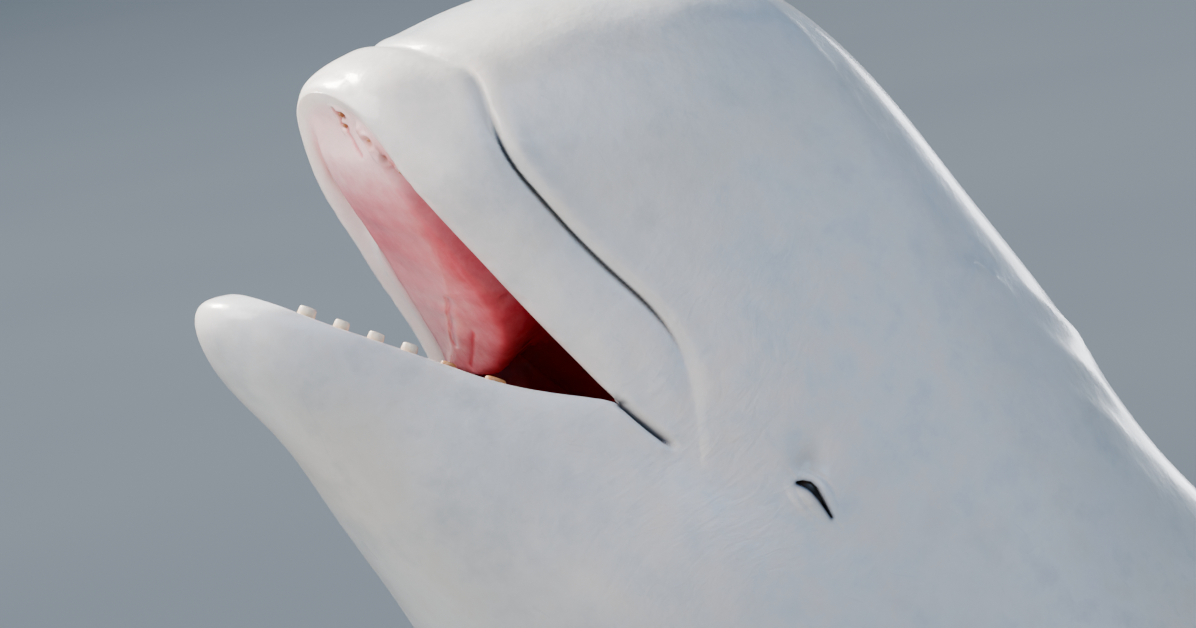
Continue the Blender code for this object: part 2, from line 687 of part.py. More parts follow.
def make_flipper(name, side, parts, material):
    way = np.array(FLIPPER_WAY) * [1, side, 1]
    way /= np.linalg.norm(way)
    ahead = np.array([-1.0, 0, 0])
    ahead -= way * (ahead @ way)
    ahead /= np.linalg.norm(ahead)
    up = np.cross(way, ahead)
    up *= np.sign(up[2])
    root = np.array(FLIPPER_ROOT) * [1, side, 1]
    place, thick = chord_steps(FIN_CHORD_POINTS)
    sections = []
    for out in FLIPPER_LENGTH * np.sin(np.linspace(0, 1, 14) * math.pi / 2):
        front = float(spline(FLIPPER_FRONT, out))
        rear = float(spline(FLIPPER_REAR, out))
        chord = np.where(place > 0, place * front, place * rear)
        middle = root + way * out + up * FLIPPER_CURL * (out / FLIPPER_LENGTH) ** 3
        sections.append((middle + np.outer(chord, ahead), thick * float(spline(FLIPPER_THICK, out)) / 2, up))
    return fin(name, sections, parts, material)


def make_fluke(name, side, parts, material):
    place, thick = chord_steps(FIN_CHORD_POINTS)
    up = np.array([0, 0, 1.0])
    sections = []
    for out in FLUKE_INNER + (FLUKE_SPAN - FLUKE_INNER) * np.sin(np.linspace(0, 1, 13) * math.pi / 2):
        front = float(spline(FLUKE_FRONT, out))
        rear = float(spline(FLUKE_REAR, out))
        chord = (front + rear) / 2 - place * (rear - front) / 2
        line = np.stack([chord, np.full_like(chord, side * out), np.zeros_like(chord)], 1)
        sections.append((line, thick * float(spline(FLUKE_THICK, out)) / 2, up))
    return fin(name, sections, parts, material)


def make_base(parts, material):
    bpy.ops.mesh.primitive_cube_add(size=1)
    data = bpy.context.object.data
    data.transform(Matrix.Translation((0, 0, BASE_SIZE[2] / 2)) @ Matrix.Diagonal((*BASE_SIZE, 1)))
    mesh = bmesh.new()
    mesh.from_mesh(data)
    upright = [edge for edge in mesh.edges if abs(edge.verts[0].co.z - edge.verts[1].co.z) > 1e-4]
    bmesh.ops.bevel(mesh, geom=upright, offset=BASE_CORNER, segments=6, profile=0.5, affect="EDGES")
    rim = [edge for edge in mesh.edges if all(abs(vert.co.z - BASE_SIZE[2]) < 1e-5 for vert in edge.verts)]
    bmesh.ops.bevel(mesh, geom=rim, offset=BASE_EDGE, segments=2, profile=0.5, affect="EDGES")
    mesh.to_mesh(data)
    mesh.free()
    return adopt("stand_base", parts, material)


def make_rod(name, x, body, parts, cutters, material):
    """A flange on the base and a rod from it up to the body, cut off just short of the skin."""
    bottom = BASE_SIZE[2] + GAP * CM
    bpy.ops.mesh.primitive_cylinder_add(vertices=ROD_SIDES * 2, radius=FLANGE_RADIUS, depth=FLANGE_THICK,
                                        location=(x, 0, bottom + FLANGE_THICK / 2))
    flange = adopt("stand_flange_" + name, parts, material)
    mesh = bmesh.new()
    mesh.from_mesh(flange.data)
    rim = [edge for edge in mesh.edges if all(vert.co.z > bottom + FLANGE_THICK / 2 for vert in edge.verts)]
    bmesh.ops.bevel(mesh, geom=rim, offset=FLANGE_EDGE, segments=1, profile=0.5, affect="EDGES")
    mesh.to_mesh(flange.data)
    mesh.free()
    bottom += FLANGE_THICK + GAP * CM
    near = [vert.co for vert in body.data.vertices
            if abs(vert.co.x - x) < ROD_NEAR[0] and abs(vert.co.y) < ROD_NEAR[1]]
    top = min(co.z for co in near) + ROD_PAST_SKIN
    bpy.ops.mesh.primitive_cylinder_add(vertices=ROD_SIDES, radius=ROD_RADIUS, depth=top - bottom,
                                        location=(x, 0, (top + bottom) / 2))
    clear_of(adopt("stand_rod_" + name, parts, material), body, cutters)


def main():
    for old in list(bpy.data.objects):
        bpy.data.objects.remove(old, do_unlink=True)
    parts = bpy.data.collections.new("beluga_whale")
    cutters = bpy.data.collections.new("beluga_whale_cutters")
    for collection in (parts, cutters):
        bpy.context.scene.collection.children.link(collection)
    cutters.hide_render = True
    skin = make_material("skin", "e6e7e4", 0.42, 0.3)
    mouth = make_material("mouth_lining", "c98f98", 0.35, 0.5)
    eye = make_material("eye", "241c1a", 0.08, 1)
    board = make_material("stand_board", "34383b", 0.55)
    steel = make_material("stand_steel", "4a4e52", 0.4)

    head = make_head(parts, skin)
    jaw = make_jaw(parts, skin)
    cut_folds(head, cutters)
    for name, side in (("left", -1), ("right", 1)):
        make_eye(head, name, side, parts, cutters, eye)
    keep_largest(head)
    add_teeth(head, UPPER_TEETH, backs(UPPER_TEETH, 9), lambda row: np.array([0, 0, -1.0]),
              TOOTH_ROOT, UPPER_TOOTH_RISE, 3, cutters)
    add_teeth(jaw, LOWER_TEETH, bellies(LOWER_TEETH, 9), lambda row: -down_of(row),
              TOOTH_ROOT, LOWER_TOOTH_RISE, 5, cutters)
    make_tongue(jaw, head, parts, cutters, mouth)

    trunk_piece("neck", HEAD_END + GAP, NECK_END, 4, 11, parts, skin)
    thorax = trunk_piece("thorax", NECK_END + GAP, THORAX_END, 9, 12, parts, skin)
    abdomen = trunk_piece("abdomen", THORAX_END + GAP, ABDOMEN_END, 11, 12, parts, skin)
    stock = trunk_piece("tail_stock", ABDOMEN_END + GAP, LENGTH, 16, 10, parts, skin)
    for name, side in (("left", -1), ("right", 1)):
        clear_of(make_flipper("flipper_" + name, side, parts, skin), thorax, cutters)
        clear_of(make_fluke("fluke_" + name, side, parts, skin), stock, cutters)

    make_base(parts, board)
    make_rod("front", ROD_FRONT_X, abdomen, parts, cutters, steel)
    make_rod("rear", ROD_REAR_X, stock, parts, cutters, steel)


main()
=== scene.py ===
"""A beluga whale at life size on a display stand: one skin over the solids, with its mouth, eyes and teeth.

Metres, +Z up, the head towards -X and the animal's left side at -Y. The animal is first laid out straight, in
centimetres from the tip of its upper lip (x back, y right, z up), shaped there, and bent into its pose last.
"""

import json
import math

import bmesh
import bpy
import numpy as np
from mathutils import Matrix, Vector
from mathutils.bvhtree import BVHTree
from mathutils.kdtree import KDTree

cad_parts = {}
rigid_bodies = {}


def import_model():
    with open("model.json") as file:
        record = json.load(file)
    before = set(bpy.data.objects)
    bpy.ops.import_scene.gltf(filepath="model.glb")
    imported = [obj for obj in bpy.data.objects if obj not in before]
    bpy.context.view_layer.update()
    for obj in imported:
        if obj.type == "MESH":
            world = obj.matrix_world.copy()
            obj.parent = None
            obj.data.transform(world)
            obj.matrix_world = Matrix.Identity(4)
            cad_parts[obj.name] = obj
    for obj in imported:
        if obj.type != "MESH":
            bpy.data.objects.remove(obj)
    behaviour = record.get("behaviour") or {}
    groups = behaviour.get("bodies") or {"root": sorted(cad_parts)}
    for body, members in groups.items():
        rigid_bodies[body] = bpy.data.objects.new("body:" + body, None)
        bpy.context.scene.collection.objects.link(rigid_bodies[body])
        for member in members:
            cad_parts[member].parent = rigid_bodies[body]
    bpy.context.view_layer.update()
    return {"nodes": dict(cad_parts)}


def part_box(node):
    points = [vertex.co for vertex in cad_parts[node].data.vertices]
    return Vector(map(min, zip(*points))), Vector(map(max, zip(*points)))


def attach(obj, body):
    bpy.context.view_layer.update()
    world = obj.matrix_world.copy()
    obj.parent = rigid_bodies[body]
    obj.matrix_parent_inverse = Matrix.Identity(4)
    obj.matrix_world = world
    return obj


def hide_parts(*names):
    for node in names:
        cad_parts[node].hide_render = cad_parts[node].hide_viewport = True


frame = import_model()

CM = 0.01

# The straight animal, in centimetres. A station is the distance behind the tip of the upper lip.
CORNER = 20.3  # station where the open lips meet
HEAD_END = 46.0
LENGTH = 380.0  # to the notch between the flukes
TAIL_ROUND = 12.0

# Midline of the forehead, and of the chin and throat with the jaw open: station, distance back and height.
FOREHEAD = ((0, 0.1, -5.65), (0.35, -0.2, -5.15), (1, -0.15, -4.2), (1.9, 0, -3.1), (3, 0.4, -1.9),
            (4, 0.9, -0.9), (5, 1.45, 0.4), (6.3, 2.2, 2.6), (8, 3.6, 6.1), (10, 5.9, 10.3),
            (12.5, 9.2, 14.8), (15.5, 14, 17.1), (20, 20, 18), (26, 26.3, 18), (34, 34.2, 18.3))
CHIN = ((0.35, 4.1, -17.3), (1, 4.3, -17.95), (2.5, 5.4, -18.7), (5, 8.1, -19.1), (10, 13.2, -18.7),
        (15, 18, -18.8), (20.3, 23, -18.9), (26, 28, -19), (34, 34.5, -19.2))
# The trunk: station, height of the back, depth of the belly, half width.
TRUNK = ((46, 18.3, 19.8, 16.9), (60, 21, 23.4, 20), (80, 26, 29.4, 26), (110, 31.8, 34.8, 32),
         (150, 34.8, 37, 35.4), (190, 34.8, 35.5, 34.6), (230, 31.6, 31, 29.8), (270, 26.2, 24.2, 22.4),
         (300, 20.8, 18.4, 16.2), (325, 16, 13.8, 11.2), (345, 12, 10.2, 7.6), (365, 8, 7, 4.8),
         (380, 5, 4.8, 3.6))
LIP_HEIGHT = ((0, -5.65), (1, -5.85), (2.7, -6.25), (6, -6.75), (10, -6.7), (18, -6.8), (23.6, -6.4),
              (27, -5.6), (31, -4.4), (38, -2.3), (46, -0.8), (60, -0.2), (80, 0), (150, 0), (380, 0))
LIP_WIDTH = ((0, 0), (0.5, 2.5), (1, 3.4), (1.9, 4.15), (3.6, 4.9), (6, 5.55), (10, 6.3), (15, 7.9),
             (20.3, 10.1), (23.6, 11.5), (27, 13.2), (31, 14.8), (38, 16.3))
CHEEK_WIDTH = ((0, 0), (0.5, 2.4), (1, 3.4), (1.9, 4.5), (3.3, 5.5), (5, 6.6), (8, 8.6), (12.5, 10.8),
               (18, 12.8), (23.6, 14.4), (31, 15.6), (38, 16.4), (46, 16.9))
CHEEK_RISE = ((0, 0.3), (5, 0.35), (12, 0.42), (20, 0.38), (31, 0.22), (40, 0.08), (46, 0))
# How square the cross-section is: 2 is an ellipse.
BACK_POWER = ((0, 2), (3, 2.2), (8, 2.5), (20, 2.6), (31, 2.4), (46, 2.15), (110, 2.05), (300, 1.9),
              (380, 1.8))
BELLY_POWER = ((0, 2), (5, 2.2), (20, 2.3), (46, 2.2), (110, 2.1), (300, 1.9), (380, 1.8))

# The lower jaw turns about its hinge, less and less towards the corner of the mouth.
LOWER_LIP_HEIGHT = ((0, -6.45), (3, -6.4), (5, -6.2), (8, -5.92), (10, -6.0), (12, -6.25), (15, -6.75),
                    (18, -6.8), (20.3, -6.7))
JAW_SHORTER = 3.3
HINGE_BACK = 29.0
HINGE_HEIGHT = -7.4
GAPE = 21.5  # degrees
GAPE_FROM = 6.0
GAPE_POWER = 2.2
PALATE_RISE = 2.6
PALATE_SWELL = 0.94  # share of the rise that the palate's soft swell fills
# The swell's left edge, which curves over to the right behind: station, distance to the right of the middle.
SWELL_LEFT = ((0, 0), (1, -2.4), (3, -3.4), (6, -3.85), (13, -3.85), (15.5, -3.4), (16.6, -2.8), (17.5, -1.7),
              (18.3, -0.3), (18.9, 0.9), (19.4, 2.4), (20, 5))
SWELL_END = 20.0
PALATE_GROOVES = (((13.3, 0.35), (14.9, 2.1), (16.7, 3.85)), ((15.7, 0.4), (16.9, 2.0), (18.1, 3.7)))
FLOOR_DEPTH = 0.30  # share of the lower jaw's depth
THROAT_END = 33.0

# The pose: the body's slope in degrees, where it changes, and where the spine starts in metres.
HEAD_SLOPE = 60.0
CHEST_TURN = 5.0
TAIL_TURN = 54.0
TURN_STATIONS = (46.0, 110.0, 390.0)
SPINE_START = (-0.92, 2.76)

RIDGE_FROM = 188.0
RIDGE_TO = 240.0
RIDGE_HEIGHT = 2.0

EYE_STATION = 29.0
EYE_HEIGHT = -3.5
EYE_RADIUS = 1.4
EYE_SUNK = 1.42
# The slit between the lids, from its front corner to its rear one: distance back, height, half its opening.
EYE_SLIT = ((-0.60, -0.05, 0.05), (-0.40, 0.15, 0.12), (-0.12, 0.33, 0.17), (0.2, 0.38, 0.16),
            (0.7, 0.34, 0.10), (1.3, 0.27, 0.055), (1.89, 0.2, 0.015))

BLOWHOLE_STATION = 36.5
BLOWHOLE_WIDTH = 5.2
BLOWHOLE_BOW = 1.4

# The fold between the forehead and the lips: station and height.
FOLD = ((4.25, -0.75), (5, -0.6), (5.8, -0.6), (6.5, -1.5), (7.7, -2.6), (10, -3), (15, -2.9), (19, -3),
        (21, -3.8))
FOLD_FADE = 24.5
CREASE_END = 23.6
EAR = (36.0, -4.0)  # station and height
# Lines on the skin, by station and height: the soft edge beside the crown and the fold at the nape behind it.
CROWN_EDGE = ((11.5, 15.2), (13.5, 15.1), (17.8, 13.95), (22.8, 13.2), (25.1, 12.8), (26.3, 11.9))
NAPE_FOLD = ((25.6, 11.2), (26.3, 11.9), (27.9, 13.2), (30.8, 14.1))
# The foremost ridge of skin on the neck: station, height and share of a ridge's shift upward.
NECK_RIDGE = ((30.4, 14.3, 1), (33, 15.2, 0.8), (36.8, 16.6, 0.7), (41, 17.2, 0.6))
# Each ridge: its shift back, its shift upward and how high it stands.
NECK_RIDGES = ((0.0, 0.0, 0.20), (1.7, -2.0, 0.12), (3.6, -4.2, 0.14), (5.2, -5.6, 0.12))
NECK_FOLDS = ((50.5, 0.35), (56.0, 0.5), (63.0, 0.4), (71.0, 0.25))  # station and depth
# The navel and the two slits of the belly: where each starts and ends, and its depth.
BELLY_MARKS = ((186.0, 188.6, 0.8), (236.0, 248.0, 1.3), (258.0, 261.5, 0.9))

LOWER_TEETH = (2.95, 5.05, 7.25, 9.4, 11.8, 14.5, 16.6)
# Worn stubs in a ragged gum, on the one side where the mouth shows them: station, distance from the middle.
UPPER_TEETH = ((1.5, 1.0), (2.2, 0.7), (2.9, 3.0), (3.9, 3.6), (4.8, 4.6))
UPPER_GUM = ((2.3, 2.6), (2.9, 3.1), (3.9, 3.7), (4.9, 4.5), (5.8, 4.9))
UPPER_SOCKET = ((1.2, 0.65), (2.1, 0.45))  # the open pit of a lost tooth
UPPER_CREASE = ((2.3, 0.6), (2.95, 0.9), (3.6, 1.5))
TOOTH_INSET = 1.05
TOOTH_LEAN = 0.07
LOWER_TOOTH_SIZE = 0.57  # half its width at the gum
LOWER_TOOTH_RISE = 0.35  # how far a crown stands above the line of the lip
LOWER_TOOTH_WORN = (0.26, 0.5)  # how much lower the teeth behind the first four, and the rearmost, stand
UPPER_TOOTH_SIZE = 0.20
UPPER_TOOTH_RISE = 0.14  # above the gum's own line, which the ridge stands out from
GUM_RIDGE = 0.42
PEG_TOP = 1.1  # the model peg's height above its place, for each unit of size

TONGUE_STATION = 12.0
TONGUE_SIZE = (5.6, 3.6, 1.5)
TONGUE_DEEP = 0.95  # share of the depth of the mouth's floor

FLIPPER_ROOT = (76.0, 16.0, -12.5)
FLIPPER_WAY = (0.50, 0.72, -0.48)
FLIPPER_LENGTH = 55.0
FLIPPER_FRONT = ((0, 7.5), (12, 8), (24, 10), (38, 12), (47, 10), (52.5, 6), (55, 0.8))
FLIPPER_REAR = ((0, 7.5), (12, 7.5), (24, 9.6), (38, 12.6), (47, 10.6), (52.5, 6.4), (55, 0.8))
FLIPPER_THICK = ((0, 5.6), (18, 4.8), (38, 3), (50, 1.8), (55, 0.8))
FLIPPER_CURL = 6.5
FLUKE_INNER = 0.6
FLUKE_SPAN = 47.0
FLUKE_FRONT = ((0, 346), (6, 350), (18, 359.5), (30, 369.5), (40, 380), (45, 387), (47, 391))
FLUKE_REAR = ((0, 380), (4, 384.5), (12, 390), (22, 393.5), (32, 395.5), (41, 396), (47, 393.5))
FLUKE_THICK = ((0, 4.6), (10, 3.6), (30, 2.2), (44, 1.3), (47, 0.8))

# How finely the skin is laid out.
UPPER_COLUMNS = 50
LOWER_COLUMNS = 32
LINING_COLUMNS = 26
ROWS = ((CORNER, 46), (HEAD_END, 42), (110.0, 52), (345.0, 26), (LENGTH, None))
FRONT_ROWS = 74
THROAT_ROWS = 12
LIP_ROUNDS = (7, 4)  # how often the skin beside the lips is relaxed, before and after it is shaped
FILLET_REACH = 5.0  # how far from a fin's root the skin runs into it in a curve
FILLET_ROUNDS = 14

# The camera, fitted to the photograph, in the straight head's frame.
CAMERA_SIDE = (0.36, 0.33)  # forward and downward shares of the way to the camera
CAMERA_ROLL = 52.0  # degrees from the picture's horizontal to the head's axis
CAMERA_FROM = (25.0, 0.0, 0.0)
CAMERA_DISTANCE = 450.0
FOCAL_PIXELS = 8505.0
LIP_TIP = (0.3, 0.0, -6.3)
LIP_TIP_PIXEL = (312.0, 105.0)
PICTURE = (1196, 628)
SENSOR = 36.0  # millimetres
FLOOR_SIZE = 90.0  # metres

CORNEA_BULGE = 0.0006  # metres, of the eyeball's clear front
CORNEA_REACH = 0.006  # metres
EYE_SHIFT = (0.35, 0.2)  # centimetres back and up from the eye's place on the skin

# The stand's bolts, in metres.
WASHER_RADIUS = 0.0105
WASHER_THICK = 0.0018
BOLT_RADIUS = 0.0075  # of the head, to its corners
BOLT_HEIGHT = 0.0054
BOLTS_OUT = 0.76  # share of the flange's radius
BOLTS_EACH = 4


def spline(rows, at):
    """A smooth curve through (place, value) rows, in the root of the place, so it is finest at the front."""
    knots = np.sqrt(np.array([row[0] for row in rows], float))
    values = np.array([row[1] for row in rows], float)
    step = np.diff(knots)
    count = len(knots)
    matrix = np.eye(count)
    right = np.zeros(count)
    for i in range(1, count - 1):
        matrix[i, i - 1:i + 2] = step[i - 1], 2 * (step[i - 1] + step[i]), step[i]
        right[i] = 6 * ((values[i + 1] - values[i]) / step[i] - (values[i] - values[i - 1]) / step[i - 1])
    bend = np.linalg.solve(matrix, right)
    u = np.sqrt(np.clip(np.asarray(at, float), 0, None))
    k = np.clip(np.searchsorted(knots, u) - 1, 0, count - 2)
    after = u - knots[k]
    before = knots[k + 1] - u
    return ((bend[k] * before**3 + bend[k + 1] * after**3) / (6 * step[k])
            + (values[k + 1] / step[k] - bend[k + 1] * step[k] / 6) * after
            + (values[k] / step[k] - bend[k] * step[k] / 6) * before)


def smooth(value, start, end):
    t = np.clip((np.asarray(value, float) - start) / (end - start), 0, 1)
    return t * t * (3 - 2 * t)


def column(rows, index):
    return [(row[0], row[index]) for row in rows]


def posed(points):
    """Bends the straight animal, in centimetres, into its pose, in metres."""
    points = np.asarray(points, float)
    run = np.arange(-10.0, 421.0)
    middle = run[:-1] + 0.5
    first, second, third = TURN_STATIONS

    def slope(station):
        return np.radians(HEAD_SLOPE + CHEST_TURN * smooth(station, first, second)
                          - TAIL_TURN * smooth(station, second, third))

    path_x = np.concatenate([[0], np.cumsum(np.cos(slope(middle)))])
    path_z = np.concatenate([[0], np.cumsum(-np.sin(slope(middle)))])
    x, y, z = points[..., 0], points[..., 1], points[..., 2]
    turn = slope(x)
    world_x = np.interp(x, run, path_x) - path_x[10] + z * np.sin(turn)
    world_z = np.interp(x, run, path_z) - path_z[10] + z * np.cos(turn)
    return np.stack([world_x * CM + SPINE_START[0], y * CM, world_z * CM + SPINE_START[1]], -1)


# The cross-sections of the straight body.

def tail_taper(station):
    t = np.clip((station - (LENGTH - TAIL_ROUND)) / TAIL_ROUND, 0, 1)
    return np.sqrt(1 - t * t)


def lower_lip(station):
    """Distance back, half width and height of the lower lip, with the jaw open."""
    back = station + JAW_SHORTER * (1 - station / CORNER)
    turn = np.radians(GAPE) * (1 - np.clip((station - GAPE_FROM) / (CORNER - GAPE_FROM), 0, 1) ** GAPE_POWER)
    width = spline(LIP_WIDTH + tuple(column(TRUNK, 3)), station) * (0.95 + 0.05 * station / CORNER)
    dx = back - HINGE_BACK
    dz = spline(LOWER_LIP_HEIGHT, station) - HINGE_HEIGHT
    x = HINGE_BACK + dx * np.cos(turn) - dz * np.sin(turn)
    z = HINGE_HEIGHT + dz * np.cos(turn) + dx * np.sin(turn)
    return x, width, z


def spread(count):
    """Places from the side line to the middle line, closer together beside the side line."""
    t = np.linspace(0, 1, count + 1)
    return 0.7 * t + 0.3 * t * t


def arch(side, ridge, width, wide, wide_at, power, count):
    """A cross-section's half, bulging above the side line to its widest, and its mirror image."""
    angle = np.linspace(0, math.pi / 2, 160)
    rise = wide_at + (1 - wide_at) * np.sin(angle) ** (2 / power)
    out = wide * np.cos(angle) ** (2 / power)
    if wide_at > 0:
        low = np.linspace(0, wide_at, 50)[:-1]
        out = np.concatenate([width + (wide - width) * (1 - (1 - low / wide_at) ** 2), out])
        rise = np.concatenate([low, rise])
    line = np.stack([side[0] + (ridge[0] - side[0]) * rise, out, side[1] + (ridge[1] - side[1]) * rise], 1)
    run = np.concatenate([[0], np.cumsum(np.linalg.norm(np.diff(line, axis=0), axis=1))])
    at = run[-1] * spread(count)
    half = np.stack([np.interp(at, run, line[:, k]) for k in range(3)], 1)
    half[-1, 1] = 0
    return np.concatenate([half, half[-2::-1] * [1, -1, 1]])


def backs(stations, count):
    """Upper half of each cross-section, from the right side line over the back to the left one."""
    stations = np.asarray(stations, float)
    x = np.where(stations < 34, spline(column(FOREHEAD, 1) + [(46, 46)], np.minimum(stations, 46)), stations)
    z = spline(column(FOREHEAD, 2) + column(TRUNK, 1), stations)
    width = spline(list(LIP_WIDTH) + column(TRUNK, 3), stations)
    head = np.minimum(stations, HEAD_END)
    wide = np.where(stations < HEAD_END, np.maximum(spline(CHEEK_WIDTH, head), width), width)
    wide_at = np.where(wide > width + 1e-6, np.clip(spline(CHEEK_RISE, head), 0, 1), 0)
    power = spline(BACK_POWER, stations)
    low = spline(LIP_HEIGHT, stations)
    end = tail_taper(stations)
    rows = []
    for i, station in enumerate(stations):
        top = z[i] * (end[i] if station > HEAD_END else 1)
        rows.append(arch((station, low[i]), (x[i], top), width[i] * end[i], wide[i] * end[i], wide_at[i],
                         power[i], count))
    return np.array(rows)


def bellies(stations, count):
    """Lower half of each cross-section, from the right side line under the belly to the left one."""
    stations = np.asarray(stations, float)
    tip = lower_lip(0.0)
    chin_x = [(0, float(tip[0]))] + column(CHIN, 1) + [(46, 46)]
    x = np.where(stations < 34, spline(chin_x, np.minimum(stations, 46)), stations)
    z = spline([(0, float(tip[2]))] + column(CHIN, 2) + [(row[0], -row[2]) for row in TRUNK], stations)
    width = spline(list(LIP_WIDTH) + column(TRUNK, 3), stations)
    low = spline(LIP_HEIGHT, stations)
    power = spline(BELLY_POWER, stations)
    end = tail_taper(stations)
    rows = []
    for i, station in enumerate(stations):
        side = (station, low[i])
        half = width[i] * end[i]
        if station < CORNER - 1e-6:
            lip = lower_lip(station)
            side = (float(lip[0]), float(lip[2]))
            half = float(lip[1])
        bottom = (x[i], z[i] * (end[i] if station > HEAD_END else 1))
        rows.append(arch(side, bottom, half, half, 0, power[i], count))
    return np.array(rows)


def lining(row, shape, across):
    """Points of the inner face of a jaw: a furrow inside each lip and a broad swell along the middle."""
    way, depth, middle, (left, right) = shape
    within = np.minimum(across - left, right - across)
    hollow = smooth(1 - np.abs(across), 0, 0.5) * (1 - middle * smooth(within, -0.11, 0.11))
    crown = (across - (left + right) / 2) / max((right - left) / 2, 0.1)
    hollow = hollow - 0.16 * middle * np.clip(1 - crown ** 2, 0, 1)
    flat = np.stack([np.full_like(across, row[0, 0]), across * row[0, 1], np.full_like(across, row[0, 2])], 1)
    return flat + np.outer(hollow * depth, way)


def swell_edges(station):
    """The palate's swell from left to right, as shares of the mouth's half width. It fills the right side."""
    width = spline(LIP_WIDTH, np.maximum(station, 0.3))
    return np.interp(station, *zip(*SWELL_LEFT)) / width, 0.72 + 0.14 * smooth(station, 8, 12)


def palate_shape(station):
    """The way the palate rises, how far, and its swell's share of that height and of the width."""
    under = bellies([CORNER], 4)[0]
    chin = under[4] - under[0]
    up = np.array([chin[0] / chin[2], 0, 1])
    swell = PALATE_SWELL * float(smooth(station, 1, 4) * (1 - smooth(station, SWELL_END - 1, SWELL_END)))
    left, right = (float(edge) for edge in swell_edges(station))
    return up, PALATE_RISE * float(smooth(station, 0, 7)), swell, (left, right)


def floor_shape(station, row):
    way = (row[len(row) // 2] - row[0]) * [1, 0, 1]
    return way, FLOOR_DEPTH * float(smooth(station, 0, 5)), 0.0, (-0.5, 0.5)


def gum_point(row, shape, inset, side):
    """A point of a jaw's lining, this far inside the right lip at 1 or the left lip at -1."""
    return lining(row, shape, np.array([side * (1 - inset / row[0, 1])]))[0]


# The skin's mesh.

def add_patch(mesh, rows, inside, across=None):
    """Quads between neighbouring rows, each point told how far inside the mouth and across it is."""
    rows = np.asarray(rows, float)
    layer_in = mesh.verts.layers.float["inside"]
    layer_across = mesh.verts.layers.float["across"]
    made = []
    for row in rows:
        line = []
        for j, point in enumerate(row):
            vert = mesh.verts.new(point)
            vert[layer_in] = inside
            vert[layer_across] = 0.0 if across is None else across[j]
            line.append(vert)
        made.append(line)
    for first, second in zip(made, made[1:]):
        for j in range(len(first) - 1):
            mesh.faces.new((first[j], first[j + 1], second[j + 1], second[j]))


def body_stations():
    parts = [np.linspace(0, math.sqrt(CORNER), FRONT_ROWS) ** 2]
    for (start, count), (end, _) in zip(ROWS, ROWS[1:]):
        parts.append(np.linspace(start, end, count)[1:])
    return np.concatenate(parts)


def base_mesh():
    """The whole body, its mouth lined and closed in a throat, as one surface."""
    mesh = bmesh.new()
    mesh.verts.layers.float.new("inside")
    mesh.verts.layers.float.new("across")
    stations = body_stations()
    upper = backs(stations, UPPER_COLUMNS)
    lower = bellies(stations, LOWER_COLUMNS)
    add_patch(mesh, upper, 0.0)
    add_patch(mesh, lower, 0.0)
    even = np.linspace(-1, 1, 2 * LINING_COLUMNS + 1)
    across = 0.6 * even + 0.4 * np.sin(even * math.pi / 2)
    front = stations[:FRONT_ROWS]
    palate = [lining(upper[i], palate_shape(station), across) for i, station in enumerate(front)]
    floor = [lining(lower[i], floor_shape(station, lower[i]), across) for i, station in enumerate(front)]
    add_patch(mesh, palate, 1.0, across)
    add_patch(mesh, floor, 1.0, across)
    width = upper[FRONT_ROWS - 1, 0, 1]
    up, rise = palate_shape(CORNER)[:2]
    down, drop = floor_shape(CORNER, lower[FRONT_ROWS - 1])[:2]
    roof = [palate[-1]]
    base = [floor[-1]]
    for q in np.linspace(0, 1, THROAT_ROWS + 1)[1:]:
        station = CORNER + (THROAT_END - CORNER) * q
        edge = np.array([[station, width * (1 - 0.75 * q ** 0.55), float(spline(LIP_HEIGHT, station))]])
        close = math.sqrt(1 - q ** 3)
        roof.append(lining(edge, (up, rise * (0.25 + 0.75 * close), 0.0, (-0.5, 0.5)), across))
        base.append(lining(edge, (down, drop * (0.2 + 0.8 * close), 0.0, (-0.5, 0.5)), across))
    add_patch(mesh, roof, 1.0, across)
    add_patch(mesh, base, 1.0, across)
    add_patch(mesh, [roof[-1], base[-1]], 1.0, across)
    bmesh.ops.remove_doubles(mesh, verts=mesh.verts, dist=2e-4)
    bmesh.ops.dissolve_degenerate(mesh, dist=1e-4, edges=mesh.edges)
    return mesh, upper, lower


def places_of(mesh):
    return np.array([vert.co for vert in mesh.verts])


def move_to(mesh, places):
    for vert, place in zip(mesh.verts, places):
        vert.co = place


def edges_of(mesh):
    return np.array([[edge.verts[0].index, edge.verts[1].index] for edge in mesh.edges])


def layer_of(mesh, name):
    layer = mesh.verts.layers.float[name]
    return np.array([vert[layer] for vert in mesh.verts])


def add_object(name, data):
    piece = bpy.data.objects.new(name, data)
    bpy.context.scene.collection.objects.link(piece)
    return piece


def store(data, name, kind, values):
    """Keeps a value for each point of a mesh under a name."""
    field = {"FLOAT": "value", "FLOAT_VECTOR": "vector", "FLOAT_COLOR": "color"}[kind]
    attribute = data.attributes.new(name, kind, "POINT")
    attribute.data.foreach_set(field, values.astype(np.float32).ravel())


def tree_of(places):
    tree = KDTree(len(places))
    for i, place in enumerate(places):
        tree.insert(place, i)
    tree.balance()
    return tree


def relax(points, edges, weights, rounds):
    """Moves each point towards the middle of its neighbours, by its weight, round after round."""
    count = len(points)
    links = np.bincount(edges.ravel(), minlength=count)
    for _ in range(rounds):
        total = np.stack([np.bincount(edges[:, 0], points[edges[:, 1], k], count)
                          + np.bincount(edges[:, 1], points[edges[:, 0], k], count) for k in range(3)], 1)
        points = points + (total / links[:, None] - points) * weights[:, None]
    return points


def resampled(path, step):
    path = np.asarray(path, float)
    run = np.concatenate([[0], np.cumsum(np.linalg.norm(np.diff(path, axis=0), axis=1))])
    at = np.linspace(0, run[-1], max(2, int(run[-1] / step) + 1))
    return np.stack([np.interp(at, run, path[:, k]) for k in range(3)], 1)


